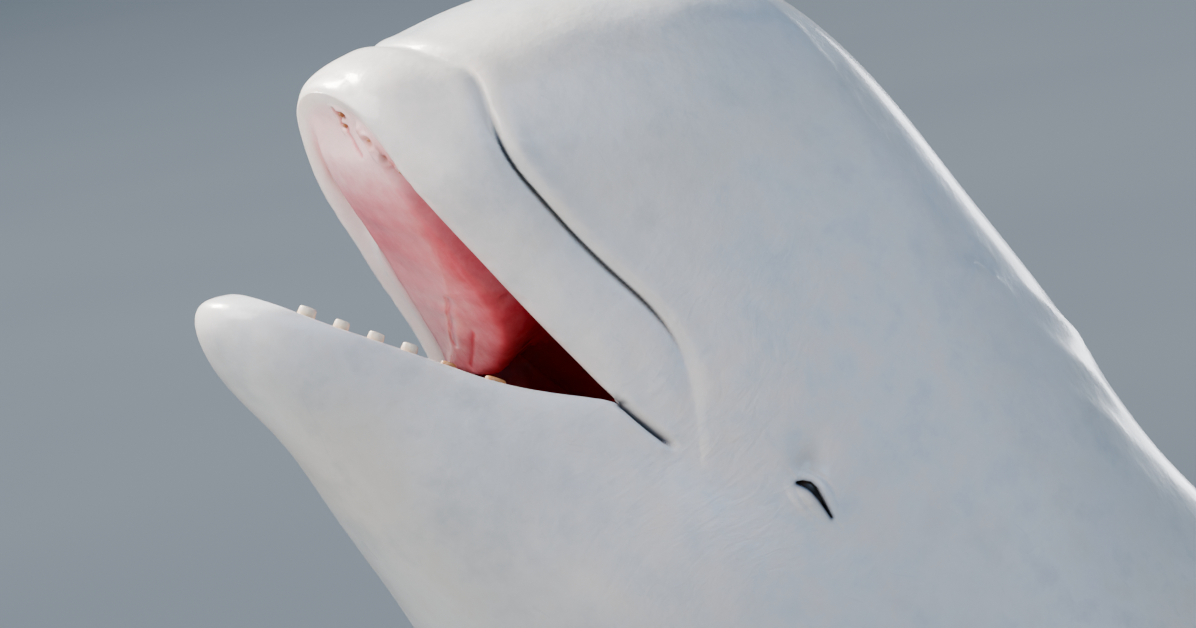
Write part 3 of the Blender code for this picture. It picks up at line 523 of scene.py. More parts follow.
def nearest(points, path, reach):
    """Distance to a path and the index of its nearest point. A point out of reach counts as far away."""
    tree = tree_of(path)
    low, high = path.min(0) - reach, path.max(0) + reach
    close = np.flatnonzero(((points > low) & (points < high)).all(1))
    far = np.full(len(points), 1e3)
    which = np.zeros(len(points), int)
    for i in close:
        _, which[i], far[i] = tree.find(points[i])
    return far, which


def side_of(points, path, which, outward):
    """How far each point is above or below a path on the skin, across the path's direction there."""
    ahead = np.gradient(path, axis=0)
    ahead /= np.linalg.norm(ahead, axis=1)[:, None]
    across = np.cross(outward, ahead[which])
    return ((points - path[which]) * across).sum(1)


def side_point(station, height, side):
    """A point of the skin above the lip, and its outward normal. Side 1 is the right, -1 the left."""
    def at(where, level):
        half = backs([where], 60)[0][:61]
        return np.array([np.interp(level, half[:, 2], half[:, k]) for k in (0, 1)] + [level])

    along = at(station + 0.3, height) - at(station - 0.3, height)
    up = at(station, height + 0.3) - at(station, height - 0.3)
    normal = np.cross(up, along)
    normal *= np.sign(normal[1]) / np.linalg.norm(normal)
    flip = np.array([1, side, 1])
    return at(station, height) * flip, normal * flip


def top_point(station, out):
    half = backs([station], 60)[0][:61][::-1]
    x, z = (np.interp(abs(out), half[:, 1], half[:, k]) for k in (0, 2))
    return np.array([x, out, z])


def fold_path():
    """The fold between the forehead and the lips, over the snout from one side to the other."""
    snout = np.linspace(FOREHEAD[2][0], FOREHEAD[7][0], 60)
    middle = float(np.interp(FOLD[0][1], spline(column(FOREHEAD, 2), snout), snout))
    stations = middle + (FOLD_FADE - middle) * np.linspace(0, 1, 60) ** 2
    ends = np.array(FOLD + ((FOLD_FADE, -6.0),))
    right = np.array([side_point(s, float(spline(ends, s)), 1)[0] for s in stations])
    right[0, 1] = 0
    return resampled(np.concatenate([right[:0:-1], right * [1, -1, 1]]), 0.1)


def skin_line(places, side):
    """A line over one side of the skin above the lip, through (station, height) places."""
    rows = resampled_flat(places, 0.6)
    return resampled([side_point(station, height, side)[0] for station, height in rows], 0.15)


def resampled_flat(places, step):
    rows = resampled([(station, height, 0.0) for station, height in places], step)
    return rows[:, :2]


def slit_path(side, surface):
    """The closed end of the mouth's line, behind the corner of the open lips, found on the skin itself."""
    width = float(spline(LIP_WIDTH, CORNER))
    line = [(CORNER - 0.4, side * (width - 0.2), float(spline(LIP_HEIGHT, CORNER)))]
    for station in np.linspace(CORNER + 0.15, CREASE_END, 24):
        height = float(spline(LIP_HEIGHT, station))
        hit = surface.ray_cast(Vector((station, side * 30, height)), Vector((0, -side, 0)))[0]
        line.append((station, hit.y, height))
    return resampled(line, 0.08)


def flat_distance(x, y, places):
    """Distance in the plane of the palate from each point to a line through (station, out) places."""
    line = resampled_flat(places, 0.2)
    return np.hypot(x[:, None] - line[:, 0], y[:, None] - line[:, 1]).min(1)


def blowhole_path():
    half = BLOWHOLE_WIDTH / 2
    return resampled([top_point(BLOWHOLE_STATION - BLOWHOLE_BOW * (out / half) ** 2, out)
                      for out in np.linspace(-half, half, 31)], 0.1)


def refine(mesh, marks):
    """Cuts the faces beside the paths finer, once for each reach of a path, down to its finest edge."""
    for level in range(4):
        places = places_of(mesh)
        finest = np.full(len(places), 1e3)
        for path, reaches, smallest in marks:
            if level < len(reaches):
                far, _ = nearest(places, path, reaches[level])
                finest = np.where(far < reaches[level], np.minimum(finest, smallest), finest)
        mesh.verts.index_update()
        edges = [edge for edge in mesh.edges
                 if edge.calc_length() > max(finest[vert.index] for vert in edge.verts)]
        bmesh.ops.subdivide_edges(mesh, edges=edges, cuts=1, use_grid_fill=True)


def normals_of(points, faces):
    """Vertex normals of triangles or quads given as one array of corners each."""
    normals = np.zeros_like(points)
    for corners in faces:
        first, second, last = points[corners[:, 0]], points[corners[:, 1]], points[corners[:, -1]]
        face = np.cross(second - first, last - first)
        for k in range(corners.shape[1]):
            for axis in range(3):
                normals[:, axis] += np.bincount(corners[:, k], face[:, axis], len(points))
    return normals / np.maximum(np.linalg.norm(normals, axis=1), 1e-12)[:, None]


def bell(distance, width):
    return np.exp(-(distance / width) ** 2)


def ripple(points, size, seed):
    """Soft lumps of about this size, the sum of seven sines along chance ways, rarely beyond -1 to 1."""
    chance = np.random.default_rng(seed)
    total = np.zeros(len(points))
    for _ in range(7):
        way = chance.normal(size=3)
        way /= np.linalg.norm(way)
        phase = points @ way * (2 * math.pi / size) * chance.uniform(0.6, 1.4)
        total += np.sin(phase + chance.uniform(0, 6.3))
    return total / 4


def eye_frame(side):
    """The eye's place on the skin, and its ways backward, upward and outward."""
    point, normal = side_point(EYE_STATION, EYE_HEIGHT, side)
    along = np.array([1.0, 0, 0])
    along -= normal * (along @ normal)
    along /= np.linalg.norm(along)
    up = np.cross(along, normal)
    up *= np.sign(up[2])
    return point, along, up, normal


def eye_slit(side):
    """The line between the lids on the skin, with half its opening at each point."""
    place, along, up, _ = eye_frame(side)
    rows = resampled(np.array(EYE_SLIT), 0.03)
    line = np.array([place + along * u + up * v for u, v, _ in rows])
    return line, rows


def deepen(tone, index, value):
    """Raises one of the tones to a value, where that is higher."""
    tone[:, index] = np.maximum(tone[:, index], value)


def shape_eye(points, push, tone, side):
    """Lids drawn over the ball, the slit between them, and the soft hollow in front of and above them, with
    painted shade in the slit and round the eye.
    """
    place, along, up, normal = eye_frame(side)
    rows = eye_slit(side)[1]
    local = points - place
    u, v, w = local @ along, local @ up, local @ normal
    near = np.hypot(u - 0.5, v - 0.2)
    use = (near < 6) & (np.abs(w) < 4)
    beyond = np.full(len(points), 9.0)
    above = np.zeros(len(points))
    close = np.flatnonzero(use)
    gaps = np.hypot(u[close, None] - rows[:, 0], v[close, None] - rows[:, 1])
    which = (gaps - rows[:, 2]).argmin(1)
    beyond[close] = gaps[np.arange(len(close)), which] - rows[which, 2]
    above[close] = v[close] - rows[which, 1]
    lids = 0.34 * bell(near, 1.25) + 0.02 * bell(beyond - 0.25, 0.25)
    upper = 0.07 * bell(beyond - 0.5, 0.4) * smooth(above, 0, 0.2)
    fold_above = -0.13 * bell(v - 1.15 + 0.22 * (u - 0.5) ** 2, 0.15) * bell(u - 0.5, 1.2)
    fold_below = -0.08 * bell(v + 0.45 - 0.10 * (u - 0.6) ** 2, 0.13) * bell(u - 0.6, 1.0)
    fold_lower = -0.06 * bell(v + 0.95 - 0.08 * (u - 0.4) ** 2, 0.15) * bell(u - 0.4, 1.2)
    brow = -0.42 * bell(np.hypot(u + 1.25 + 0.35 * (v - 1.2), 0.8 * (v - 1.2)), 0.95)
    swell = 0.18 * bell(np.hypot(u - 0.6, v - 0.4), 3.0)
    pit = -0.95 * smooth(-beyond, -0.05, 0.06)
    push += np.where(use, lids + upper + fold_above + fold_below + fold_lower + brow + swell + pit, 0)
    # Painted shade in the slit, spreading a little past it, and along its lower rim.
    dark = smooth(-beyond, -0.24, 0.05) + 0.30 * bell(beyond - 0.1, 0.2) * smooth(-above, -0.1, 0.15)
    deepen(tone, 2, np.where(use, np.clip(dark, 0, 1), 0))
    # Grey-green in the hollow before and above the eye and in a patch below it: partly the skin's tint,
    # partly painted shade.
    shade = 0.42 * bell(np.hypot(u + 1.0, v - 0.9), 0.9) + 0.18 * bell(np.hypot(u - 0.4, v + 0.4), 0.7)
    deepen(tone, 3, np.where(use, shade, 0))


def shape_fold(points, normals, outer, push, tone):
    """The fold between the forehead and the lips, with the swells above and below it, and painted shade along
    its bottom.
    """
    fold = fold_path()
    far, which = nearest(points, fold, 5.0)
    above = side_of(points, fold, which, normals)
    station = fold[which, 0]
    middle = bell(fold[which, 1], 2.2) * (station < 4)
    strong = smooth(-station, -21.0, -16.0) * (0.12 + 0.88 * smooth(station, 4.2, 6.4)) * (1 - 0.6 * middle)
    soft = smooth(-station, -FOLD_FADE, -19.0)
    wide = 0.12 + 0.06 * smooth(station, 17, 21) + 0.15 * (1 - smooth(station, 4.3, 6))
    groove = -0.52 * strong * bell(far, wide) - (0.16 + 0.10 * smooth(station, 5, 9)) * soft * bell(far, 0.7)
    over = 0.30 * (0.25 + 0.75 * strong) * bell(far - 0.75, 0.62) * smooth(above, 0, 0.3)
    below = 0.10 * soft * bell(far - 0.9, 0.7) * smooth(-above, 0, 0.3)
    lip_swell = 0.18 * bell(far - 2.6, 1.6) * smooth(-above, 0.5, 2) * strong
    push += np.where(outer, groove + over + below + lip_swell, 0)
    # Painted shade along the bottom of the fold.
    tone[:, 2] = np.where(outer, 0.85 * strong * bell(far, 0.11) * smooth(station, 4.4, 6.2), 0)


def shape_openings(points, outer, slits, push, shift, tone):
    """The closed end of the mouth's line, the eye and the ear of each side, and the blowhole, each darkened
    with painted shade.
    """
    y = points[:, 1]
    for side, slit in zip((1, -1), slits):
        far, which = nearest(points, slit, 3.0)
        along = which / (len(slit) - 1)
        fade = (1 - smooth(along, 0.8, 1.0)) * smooth(along, -0.10, 0.14)
        beside = np.abs(y) > np.abs(slit[which, 1]) - 0.8
        shift[:, 1] -= side * np.where(beside, fade * 0.75 * bell(far, 0.16), 0)
        push += np.where(outer, fade * 0.12 * bell(far - 0.5, 0.35), 0)
        # Painted shade along the closed line of the mouth, and a spot of it at the corner of the open lips.
        deepen(tone, 2, np.where(beside, fade * bell(far, 0.13), 0))
        corner = np.linalg.norm(points - slit[5], axis=1)
        deepen(tone, 2, 0.9 * bell(corner, 0.24))
        shape_eye(points, push, tone, side)
        far = np.linalg.norm(points - side_point(*EAR, side)[0], axis=1)
        push += -0.35 * bell(far, 0.22) + 0.06 * bell(far - 0.5, 0.25)
        # Painted shade in the ear's pit.
        deepen(tone, 2, 0.8 * bell(far, 0.16))

    blow = blowhole_path()
    far, which = nearest(points, blow, 5.0)
    ends = smooth(np.minimum(which, len(blow) - 1 - which) / 8.0, 0, 1)
    dip = -0.8 * bell(far, 0.2) * ends + 0.22 * bell(far - 0.6, 0.4) - 0.35 * bell(far, 3.0)
    push += np.where(outer, dip, 0)
    # Painted shade in the blowhole's slit.
    deepen(tone, 2, np.where(outer, ends * bell(far, 0.2), 0))


def shape_neck(points, normals, push):
    """The soft edge beside the crown, the fold at the nape behind it and the ridges of skin on the neck."""
    for side in (1, -1):
        edge = skin_line(CROWN_EDGE, side)
        far, which = nearest(points, edge, 4.0)
        rise = side * side_of(points, edge, which, normals)
        along = which / (len(edge) - 1)
        ends = smooth(along, 0, 0.3) * (1 - smooth(along, 0.93, 1))
        push += np.where(far < 4, ends * 0.20 * smooth(rise, -0.25, 0.25) * (1 - smooth(far, 1.2, 3.6)), 0)
        push += np.where(far < 4, -0.10 * ends * bell(rise + 0.25, 0.25), 0)
        nape = skin_line(NAPE_FOLD, side)
        far, which = nearest(points, nape, 3.0)
        along = which / (len(nape) - 1)
        ends = smooth(along, 0, 0.2) * (1 - smooth(along, 0.8, 1))
        rise = side * side_of(points, nape, which, normals)
        push += ends * (-0.30 * bell(far, 0.28) + 0.26 * bell(far - 0.75, 0.5) * smooth(rise, -0.1, 0.5))
        for back, up, size in NECK_RIDGES:
            crest = skin_line([(at + back, height + share * up) for at, height, share in NECK_RIDGE], side)
            far, which = nearest(points, crest, 3.0)
            along = which / (len(crest) - 1)
            push += size * smooth(along, 0, 0.25) * (1 - smooth(along, 0.6, 1)) * bell(far, 0.6)


def shape_body(points, outer, off_lip, push, tone):
    """Soft lumps, the back's nicked ridge, the folds under the neck and the marks of the belly, with painted
    shade in the marks.
    """
    x, y, z = points.T
    body = smooth(x, 24, 60)
    uneven = 0.10 * ripple(points, 9.0, 4) * smooth(x, 2, 12) + 0.45 * body * ripple(points, 38.0, 9)
    push += np.where(outer, uneven * off_lip, 0)
    ridge = smooth(x, RIDGE_FROM, RIDGE_FROM + 12) * (1 - smooth(x, RIDGE_TO - 16, RIDGE_TO))
    nicks = 1 - 0.35 * bell(np.mod(x + 3 * np.sin(x * 0.37), 7.3) - 3.6, 0.8)
    push += np.where(z > 0, RIDGE_HEIGHT * ridge * bell(y, 1.9) * nicks, 0)
    for station, size in NECK_FOLDS:
        slant = x - station - 0.22 * z - 0.8 * np.sin(y * 0.16)
        push += np.where(outer, -size * bell(slant, 1.5) * smooth(-z, -14, 10), 0)
    for start, end, size in BELLY_MARKS:
        off = np.hypot(y, np.maximum(0, np.maximum(start - x, x - end)))
        push += np.where(z < 0, -size * bell(off, 0.7) + 0.5 * size * bell(off - 1.5, 1.1), 0)
        # Painted shade in the navel and the slits.
        deepen(tone, 2, np.where(z < 0, 0.7 * bell(off, 0.5), 0))


def shape_mouth(points, inside, across, upper_far, lower_far, push, tone):
    """White rims, pink gums and a paler swell along the palate, deepening into the throat partly with painted
    shade.
    """
    count = len(points)
    x, y, z = points.T
    upper_white = 0.45 + np.where(y > 0, 1.05 * smooth(x, 3, 11), 0.85 * smooth(x, 3, 16))
    upper_white *= 1 - 0.9 * smooth(x, 17.8, 19.6)
    upper_in = smooth(upper_far, upper_white, upper_white + 0.7)
    lower_in = smooth(lower_far, 0.3, 0.75)
    lined = np.where(upper_far < lower_far, upper_in, lower_in)
    tone[:, 0] = np.where(inside > 0.5, lined, 0)
    out = np.abs(y)
    palate = (inside > 0.5) & (z > -7.4) & (x < 24)
    left, right = swell_edges(x)
    swell = smooth(np.minimum((across - left) / 1.6, right - across), -0.10, 0.09)
    swell = swell * (1 - smooth(x, 19.2, 20.2))
    # On the swell the lining turns paler behind station 9: a painted highlight towards its rounded rear.
    on_swell = 0.12 + 0.14 * smooth(x, 2.5, 7) + 0.16 * smooth(x, 5, 8.5) - 0.17 * smooth(x, 9, 14)
    on_swell += 0.14 * smooth(across - left, 0.35, 0.1) * smooth(x, 8, 12) + 0.12 * smooth(x, 17, 20)
    # Beside the swell and in the throat the lining deepens to maroon, partly its own red and partly painted
    # shade.
    beside = (0.20 + 0.22 * smooth(x, 2, 7) + 0.16 * smooth(x, 7, 11) + 0.26 * smooth(x, 10, 13.5)
              + 0.2 * smooth(x, 14, 17))
    elsewhere = 0.22 + 0.3 * smooth(x, 6, 15) + 0.45 * smooth(x, 15, 21)
    depth = np.where(palate, beside + (on_swell - beside) * swell, elsewhere)
    furrow = bell(upper_far - upper_white - 0.42, 0.26) * smooth(x, 2, 7) * (1 - smooth(x, 18, 19.5))
    depth += np.where(palate, 0.34 * furrow, 0)
    push += np.where(palate, -0.22 * furrow, 0)
    ruga = 0.016 * np.sin(x * 3.1 + 4 * across + 1.6 * np.sin(x * 0.9)) * bell(np.abs(across) - 0.25, 0.4)
    push += np.where(inside > 0.5, ruga * 2 * smooth(x, 5, 10), 0)
    for groove in PALATE_GROOVES:
        far = np.full(count, 99.0)
        close = np.flatnonzero(palate & (x > 12) & (y > 0))
        far[close] = flat_distance(x[close], out[close], groove)
        # Each groove is pressed in and darkened with painted shade.
        push += -0.05 * bell(far, 0.22)
        depth += 0.20 * bell(far, 0.14)
    # A ridge of gum inside the upper lip, broken on the left by the sockets of worn teeth.
    front = np.flatnonzero(palate & (x < 8))
    far = np.full(count, 99.0)
    far[front] = flat_distance(x[front], out[front], UPPER_GUM)
    rough = ripple(points, 1.0, 21)
    within = smooth(upper_far, 0.35, 1.1)
    ends = np.where(y < 0, 1 - smooth(x, 4.4, 6.2), 0.2 * (1 - smooth(x, 5, 6)))
    push += within * GUM_RIDGE * bell(far, 0.5) * ends
    near = palate & (far < 3) & (y < 0)
    stain = 0.55 * bell(far + 0.16 * rough, 0.26) * smooth(rough, -0.9, 0.3) * (1 - smooth(x, 4.8, 5.8))
    push += np.where(near, 0.10 * rough * bell(far, 0.5), 0)
    for station, middle in UPPER_TEETH:
        gap = np.hypot(x - station, y + middle) + 0.10 * rough
        push += np.where(near, -0.16 * bell(gap, 0.26) + 0.08 * bell(gap - 0.42, 0.14), 0)
        stain = np.maximum(stain, 0.7 * bell(gap, 0.32))
    off = np.full(count, 99.0)
    off[front] = flat_distance(x[front], -y[front], UPPER_SOCKET)
    push += np.where(palate, -0.4 * bell(off, 0.16) + 0.07 * bell(off - 0.35, 0.15), 0)
    # Painted shade in the socket's pit.
    depth += np.where(palate, 0.75 * bell(off, 0.15), 0)
    stain = np.maximum(stain, 0.7 * bell(off, 0.26))
    near = near | (off < 1)
    off[front] = flat_distance(x[front], -y[front], UPPER_CREASE)
    push += np.where(palate, -0.10 * bell(off, 0.16), 0)
    # Painted shade in the crease.
    depth += np.where(palate, 0.24 * bell(off, 0.14), 0)
    deepen(tone, 3, np.where(near, stain, 0))
    deepen(tone, 0, np.where(near, stain, 0))
    tone[:, 1] = np.where(inside > 0.5, np.clip(depth + ruga, 0, 1), 0)
    for station, row in zip(LOWER_TEETH, bellies(LOWER_TEETH, 9)):
        for side in (1, -1):
            root = gum_point(row, floor_shape(station, row), TOOTH_INSET, side)
            far = np.linalg.norm(points - root, axis=1)
            push += np.where(inside > 0.5, 0.08 * bell(far - 0.62, 0.16) * smooth(lower_far, 0.5, 0.8), 0)
            stain = (0.35 + 0.4 * smooth(station, 10, 12)) * bell(far - 0.5, 0.22)
            deepen(tone, 3, np.where(inside > 0.5, stain, 0))


def shape_skin(points, normals, inside, across, lips, slits):
    """How each point of the straight skin moves, and its tones: lining, depth, painted shade in creases and
    openings, and painted shade round the eyes or stain in the mouth.
    """
    push = np.zeros(len(points))
    shift = np.zeros((len(points), 3))
    tone = np.zeros((len(points), 4))
    outer = inside < 0.5
    x, y, _ = points.T
    upper_far, _ = nearest(points, lips[0], 12.0)
    # The right upper lip hangs a little outward and down.
    hang = bell(upper_far, 2.4) * smooth(x, 3, 10.5) * (1 - smooth(x, 11.5, 17.5)) * smooth(y, 0.5, 4)
    shift[:, 1] += 0.26 * hang
    shift[:, 2] -= 0.28 * hang
    lower_far, _ = nearest(points, lips[1], 12.0)
    off_lip = smooth(np.minimum(upper_far, lower_far), 0.8, 3.5)
    shape_fold(points, normals, outer, push, tone)
    shape_openings(points, outer, slits, push, shift, tone)
    shape_neck(points, normals, push)
    shape_body(points, outer, off_lip, push, tone)
    shape_mouth(points, inside, across, upper_far, lower_far, push, tone)
    return shift + normals * push[:, None], tone


def fin(name, sections):
    """A closed fin through sections of (points along the chord, half thickness at each, the way up)."""
    mesh = bmesh.new()
    for sign in (1, -1):
        rows = [line + sign * np.outer(half, up) for line, half, up in sections]
        made = [[mesh.verts.new(point) for point in row] for row in rows]
        for first, second in zip(made, made[1:]):
            for j in range(len(first) - 1):
                mesh.faces.new((first[j], first[j + 1], second[j + 1], second[j]))
        if sign == 1:
            top = made
    for i in (0, -1):
        for j in range(len(top[i]) - 1):
            corners = (top[i][j], top[i][j + 1], made[i][j + 1], made[i][j])
            mesh.faces.new([mesh.verts.new(vert.co) for vert in corners])
    bmesh.ops.remove_doubles(mesh, verts=mesh.verts, dist=1e-4)
    bmesh.ops.dissolve_degenerate(mesh, dist=1e-5, edges=mesh.edges)
    bmesh.ops.recalc_face_normals(mesh, faces=mesh.faces)
    data = bpy.data.meshes.new(name)
    mesh.to_mesh(data)
    mesh.free()
    return add_object(name, data)


def chord_steps(count):
    angle = np.linspace(0, math.pi, count)
    place = np.cos(angle)
    thick = np.sin(angle) * (1 + 0.25 * place)
    thick[[0, -1]] = 0
    return place, thick


def flipper(side):
    way = np.array(FLIPPER_WAY) * [1, side, 1]
    way /= np.linalg.norm(way)
    ahead = np.array([-1.0, 0, 0])
    ahead -= way * (ahead @ way)
    ahead /= np.linalg.norm(ahead)
    up = np.cross(way, ahead)
    up *= np.sign(up[2])
    root = np.array(FLIPPER_ROOT) * [1, side, 1]
    place, thick = chord_steps(27)
    sections = []
    for out in FLIPPER_LENGTH * np.sin(np.linspace(0, 1, 44) * math.pi / 2):
        front = float(spline(FLIPPER_FRONT, out))
        rear = float(spline(FLIPPER_REAR, out))
        chord = np.where(place > 0, place * front, place * rear)
        # The finger bones show as faint ridges that spread towards the tip.
        fingers = 1 + 0.06 * np.cos(place * 9) * float(smooth(out, 18, 36)) * (1 - place ** 2)
        middle = root + way * out + up * FLIPPER_CURL * (out / FLIPPER_LENGTH) ** 3
        half = thick * fingers * float(spline(FLIPPER_THICK, out)) / 2
        sections.append((middle + np.outer(chord, ahead), half, up))
    return fin("flipper_blank", sections)


def fluke(side):
    place, thick = chord_steps(27)
    up = np.array([0, 0, 1.0])
    sections = []
    for out in FLUKE_INNER + (FLUKE_SPAN - FLUKE_INNER) * np.sin(np.linspace(0, 1, 40) * math.pi / 2):
        front = float(spline(FLUKE_FRONT, out))
        rear = float(spline(FLUKE_REAR, out)) - 0.25 * math.sin(out * 0.9) * math.sin(out * 0.31)
        chord = (front + rear) / 2 - place * (rear - front) / 2
        line = np.stack([chord, np.full_like(chord, side * out), np.zeros_like(chord)], 1)
        sections.append((line, thick * float(spline(FLUKE_THICK, out)) / 2, up))
    return fin("fluke_blank", sections)


def deselect():
    for piece in bpy.context.scene.objects:
        piece.select_set(False)


def apply_modifiers(piece):
    deselect()
    bpy.context.view_layer.objects.active = piece
    piece.select_set(True)
    for modifier in list(piece.modifiers):
        bpy.ops.object.modifier_apply(modifier=modifier.name)


def make_skin(material):
    mesh, upper, lower = base_mesh()
    lips = []
    for rows in (upper, lower):
        front = rows[:FRONT_ROWS]
        lips.append(resampled(np.concatenate([front[::-1, 0], front[:, -1]]), 0.15))
    eyes = [eye_slit(side)[0] for side in (1, -1)]
    places = places_of(mesh)
    mesh.verts.index_update()
    edges = edges_of(mesh)
    weight = np.zeros(len(places))
    for path in lips:
        far, _ = nearest(places, path, 2.0)
        ahead = 1 - smooth(places[:, 0], 17.5, 19.5)
        weight = np.maximum(weight, 0.5 * (1 - smooth(far, 0.5, 1.3)) * ahead)
    for side in (1, -1):
        line = [(s, side * float(spline(list(LIP_WIDTH) + column(TRUNK, 3), s)), float(spline(LIP_HEIGHT, s)))
                for s in np.linspace(22, 60, 60)]
        far, _ = nearest(places, np.array(line), 4.0)
        weight = np.maximum(weight, 0.6 * (1 - smooth(far, 1.5, 4.0)) * smooth(places[:, 0], 21.5, 24.5))
    places = relax(places, edges, weight, LIP_ROUNDS[0])
    move_to(mesh, places)
    surface = BVHTree.FromBMesh(mesh)
    slits = [slit_path(side, surface) for side in (1, -1)]
    # Each path with its reaches and its finest edge.
    marks = [(fold_path(), (1.1, 0.7, 0.4, 0.25), 0.08), (lips[0], (1.0, 0.5), 0.14),
             (lips[1], (0.9, 0.5), 0.14)]
    marks += [(slit, (1.1, 0.7, 0.4, 0.25), 0.08) for slit in slits]
    marks += [(eye, (2.6, 1.8, 1.1, 0.5), 0.055) for eye in eyes]
    marks.append((blowhole_path(), (1.4, 0.8, 0.5), 0.13))
    marks += [(resampled([(station, out, -6.7) for station, out in groove], 0.2), (1.1, 0.8), 0.18)
              for groove in PALATE_GROOVES]
    marks += [(resampled([(station, -out, -6.2) for station, out in line], 0.2), (0.9, 0.6), 0.15)
              for line in (UPPER_GUM, UPPER_SOCKET + UPPER_CREASE)]
    refine(mesh, marks)
    bmesh.ops.recalc_face_normals(mesh, faces=mesh.faces)
    mesh.verts.index_update()
    mesh.verts.ensure_lookup_table()
    places = places_of(mesh)
    inside = layer_of(mesh, "inside")
    across = layer_of(mesh, "across")
    corners = {}
    for face in mesh.faces:
        corners.setdefault(len(face.verts), []).append([vert.index for vert in face.verts])
    faces = [np.array(rows) for rows in corners.values()]
    normals = normals_of(places, faces)
    moves, tone = shape_skin(places, normals, inside, across, lips, slits)
    places = places + moves
    edges = edges_of(mesh)
    weight = np.zeros(len(places))
    for path in lips:
        far, _ = nearest(places, path, 2.0)
        ahead = 1 - smooth(places[:, 0], 17.5, 19.5)
        weight = np.maximum(weight, 0.5 * (1 - smooth(far, 0.3, 0.9)) * ahead)
    for slit in slits:
        far = np.linalg.norm(places - slit[0], axis=1)
        weight = np.maximum(weight, 0.5 * (1 - smooth(far, 0.25, 0.8)))
    places = relax(places, edges, weight, LIP_ROUNDS[1])
    move_to(mesh, places)
    data = bpy.data.meshes.new("skin")
    mesh.to_mesh(data)
    mesh.free()
    skin = add_object("skin", data)
    data.attributes.remove(data.attributes["inside"])
    data.attributes.remove(data.attributes["across"])

    blanks = [flipper(1), flipper(-1), fluke(1), fluke(-1)]
    for blank in blanks:
        join = skin.modifiers.new("Join", "BOOLEAN")
        join.operation = "UNION"
        join.object = blank
        join.solver = "MANIFOLD"
    apply_modifiers(skin)
    fins = np.concatenate([np.array([vert.co for vert in blank.data.vertices]) for blank in blanks])
    for blank in blanks:
        bpy.data.objects.remove(blank, do_unlink=True)
    data = skin.data
    made = np.array([vert.co for vert in data.vertices])
    tree = tree_of(np.concatenate([places, fins]))
    found = np.array([tree.find(place)[1:] for place in made])
    which = found[:, 0].astype(int)
    joint = found[:, 1] > 1e-3
    padded = np.concatenate([tone, np.zeros((len(fins), 4))])
    tone = padded[which]
    # The skin runs in a soft curve from the body into each fin.
    edges = np.array([edge.vertices[:] for edge in data.edges])
    seam = made[joint]
    far, _ = nearest(made, seam, 9.0)
    weight = 0.6 * (1 - smooth(far, 0.5, FILLET_REACH))
    made = relax(made, edges, weight, FILLET_ROUNDS)
    data.vertices.foreach_set("co", posed(made).astype(np.float32).ravel())
    store(data, "tone", "FLOAT_COLOR", tone)
    store(data, "lay", "FLOAT_VECTOR", made * CM)
    data.materials.clear()
    data.materials.append(material)
    data.shade_smooth()
    data.update()
    return skin


# Materials.

def colour(code):
    """An sRGB hex colour as linear red, green and blue, with full alpha."""
    values = [int(code[i:i + 2], 16) / 255 for i in (0, 2, 4)]
    return (*[v / 12.92 if v <= 0.04045 else ((v + 0.055) / 1.055) ** 2.4 for v in values], 1.0)


def feed(made, settings=None, links=None):
    """Sets and links a node's inputs. A link comes from a socket, or from a node's first socket in use."""
    for key, value in (settings or {}).items():
        if isinstance(key, int) or key in made.inputs:
            made.inputs[key].default_value = value
        else:
            setattr(made, key, value)
    for key, source in (links or {}).items():
        if isinstance(source, bpy.types.Node):
            source = next(socket for socket in source.outputs if socket.enabled)
        made.id_data.links.new(source, made.inputs[key])
    return made


def node(tree, kind, settings=None, links=None, stops=()):
    """Adds a shader node with its settings, its links and the places and colours of its ramp, if any."""
    made = tree.nodes.new("ShaderNode" + kind)
    if stops:
        elements = made.color_ramp.elements
        while len(elements) < len(stops):
            elements.new(0.5)
        for element, (place, code) in zip(elements, stops):
            element.position = place
            element.color = colour(code)
    return feed(made, settings, links)


def new_material(name):
    material = bpy.data.materials.new(name)
    material.use_nodes = True
    return material, material.node_tree, material.node_tree.nodes["Principled BSDF"]


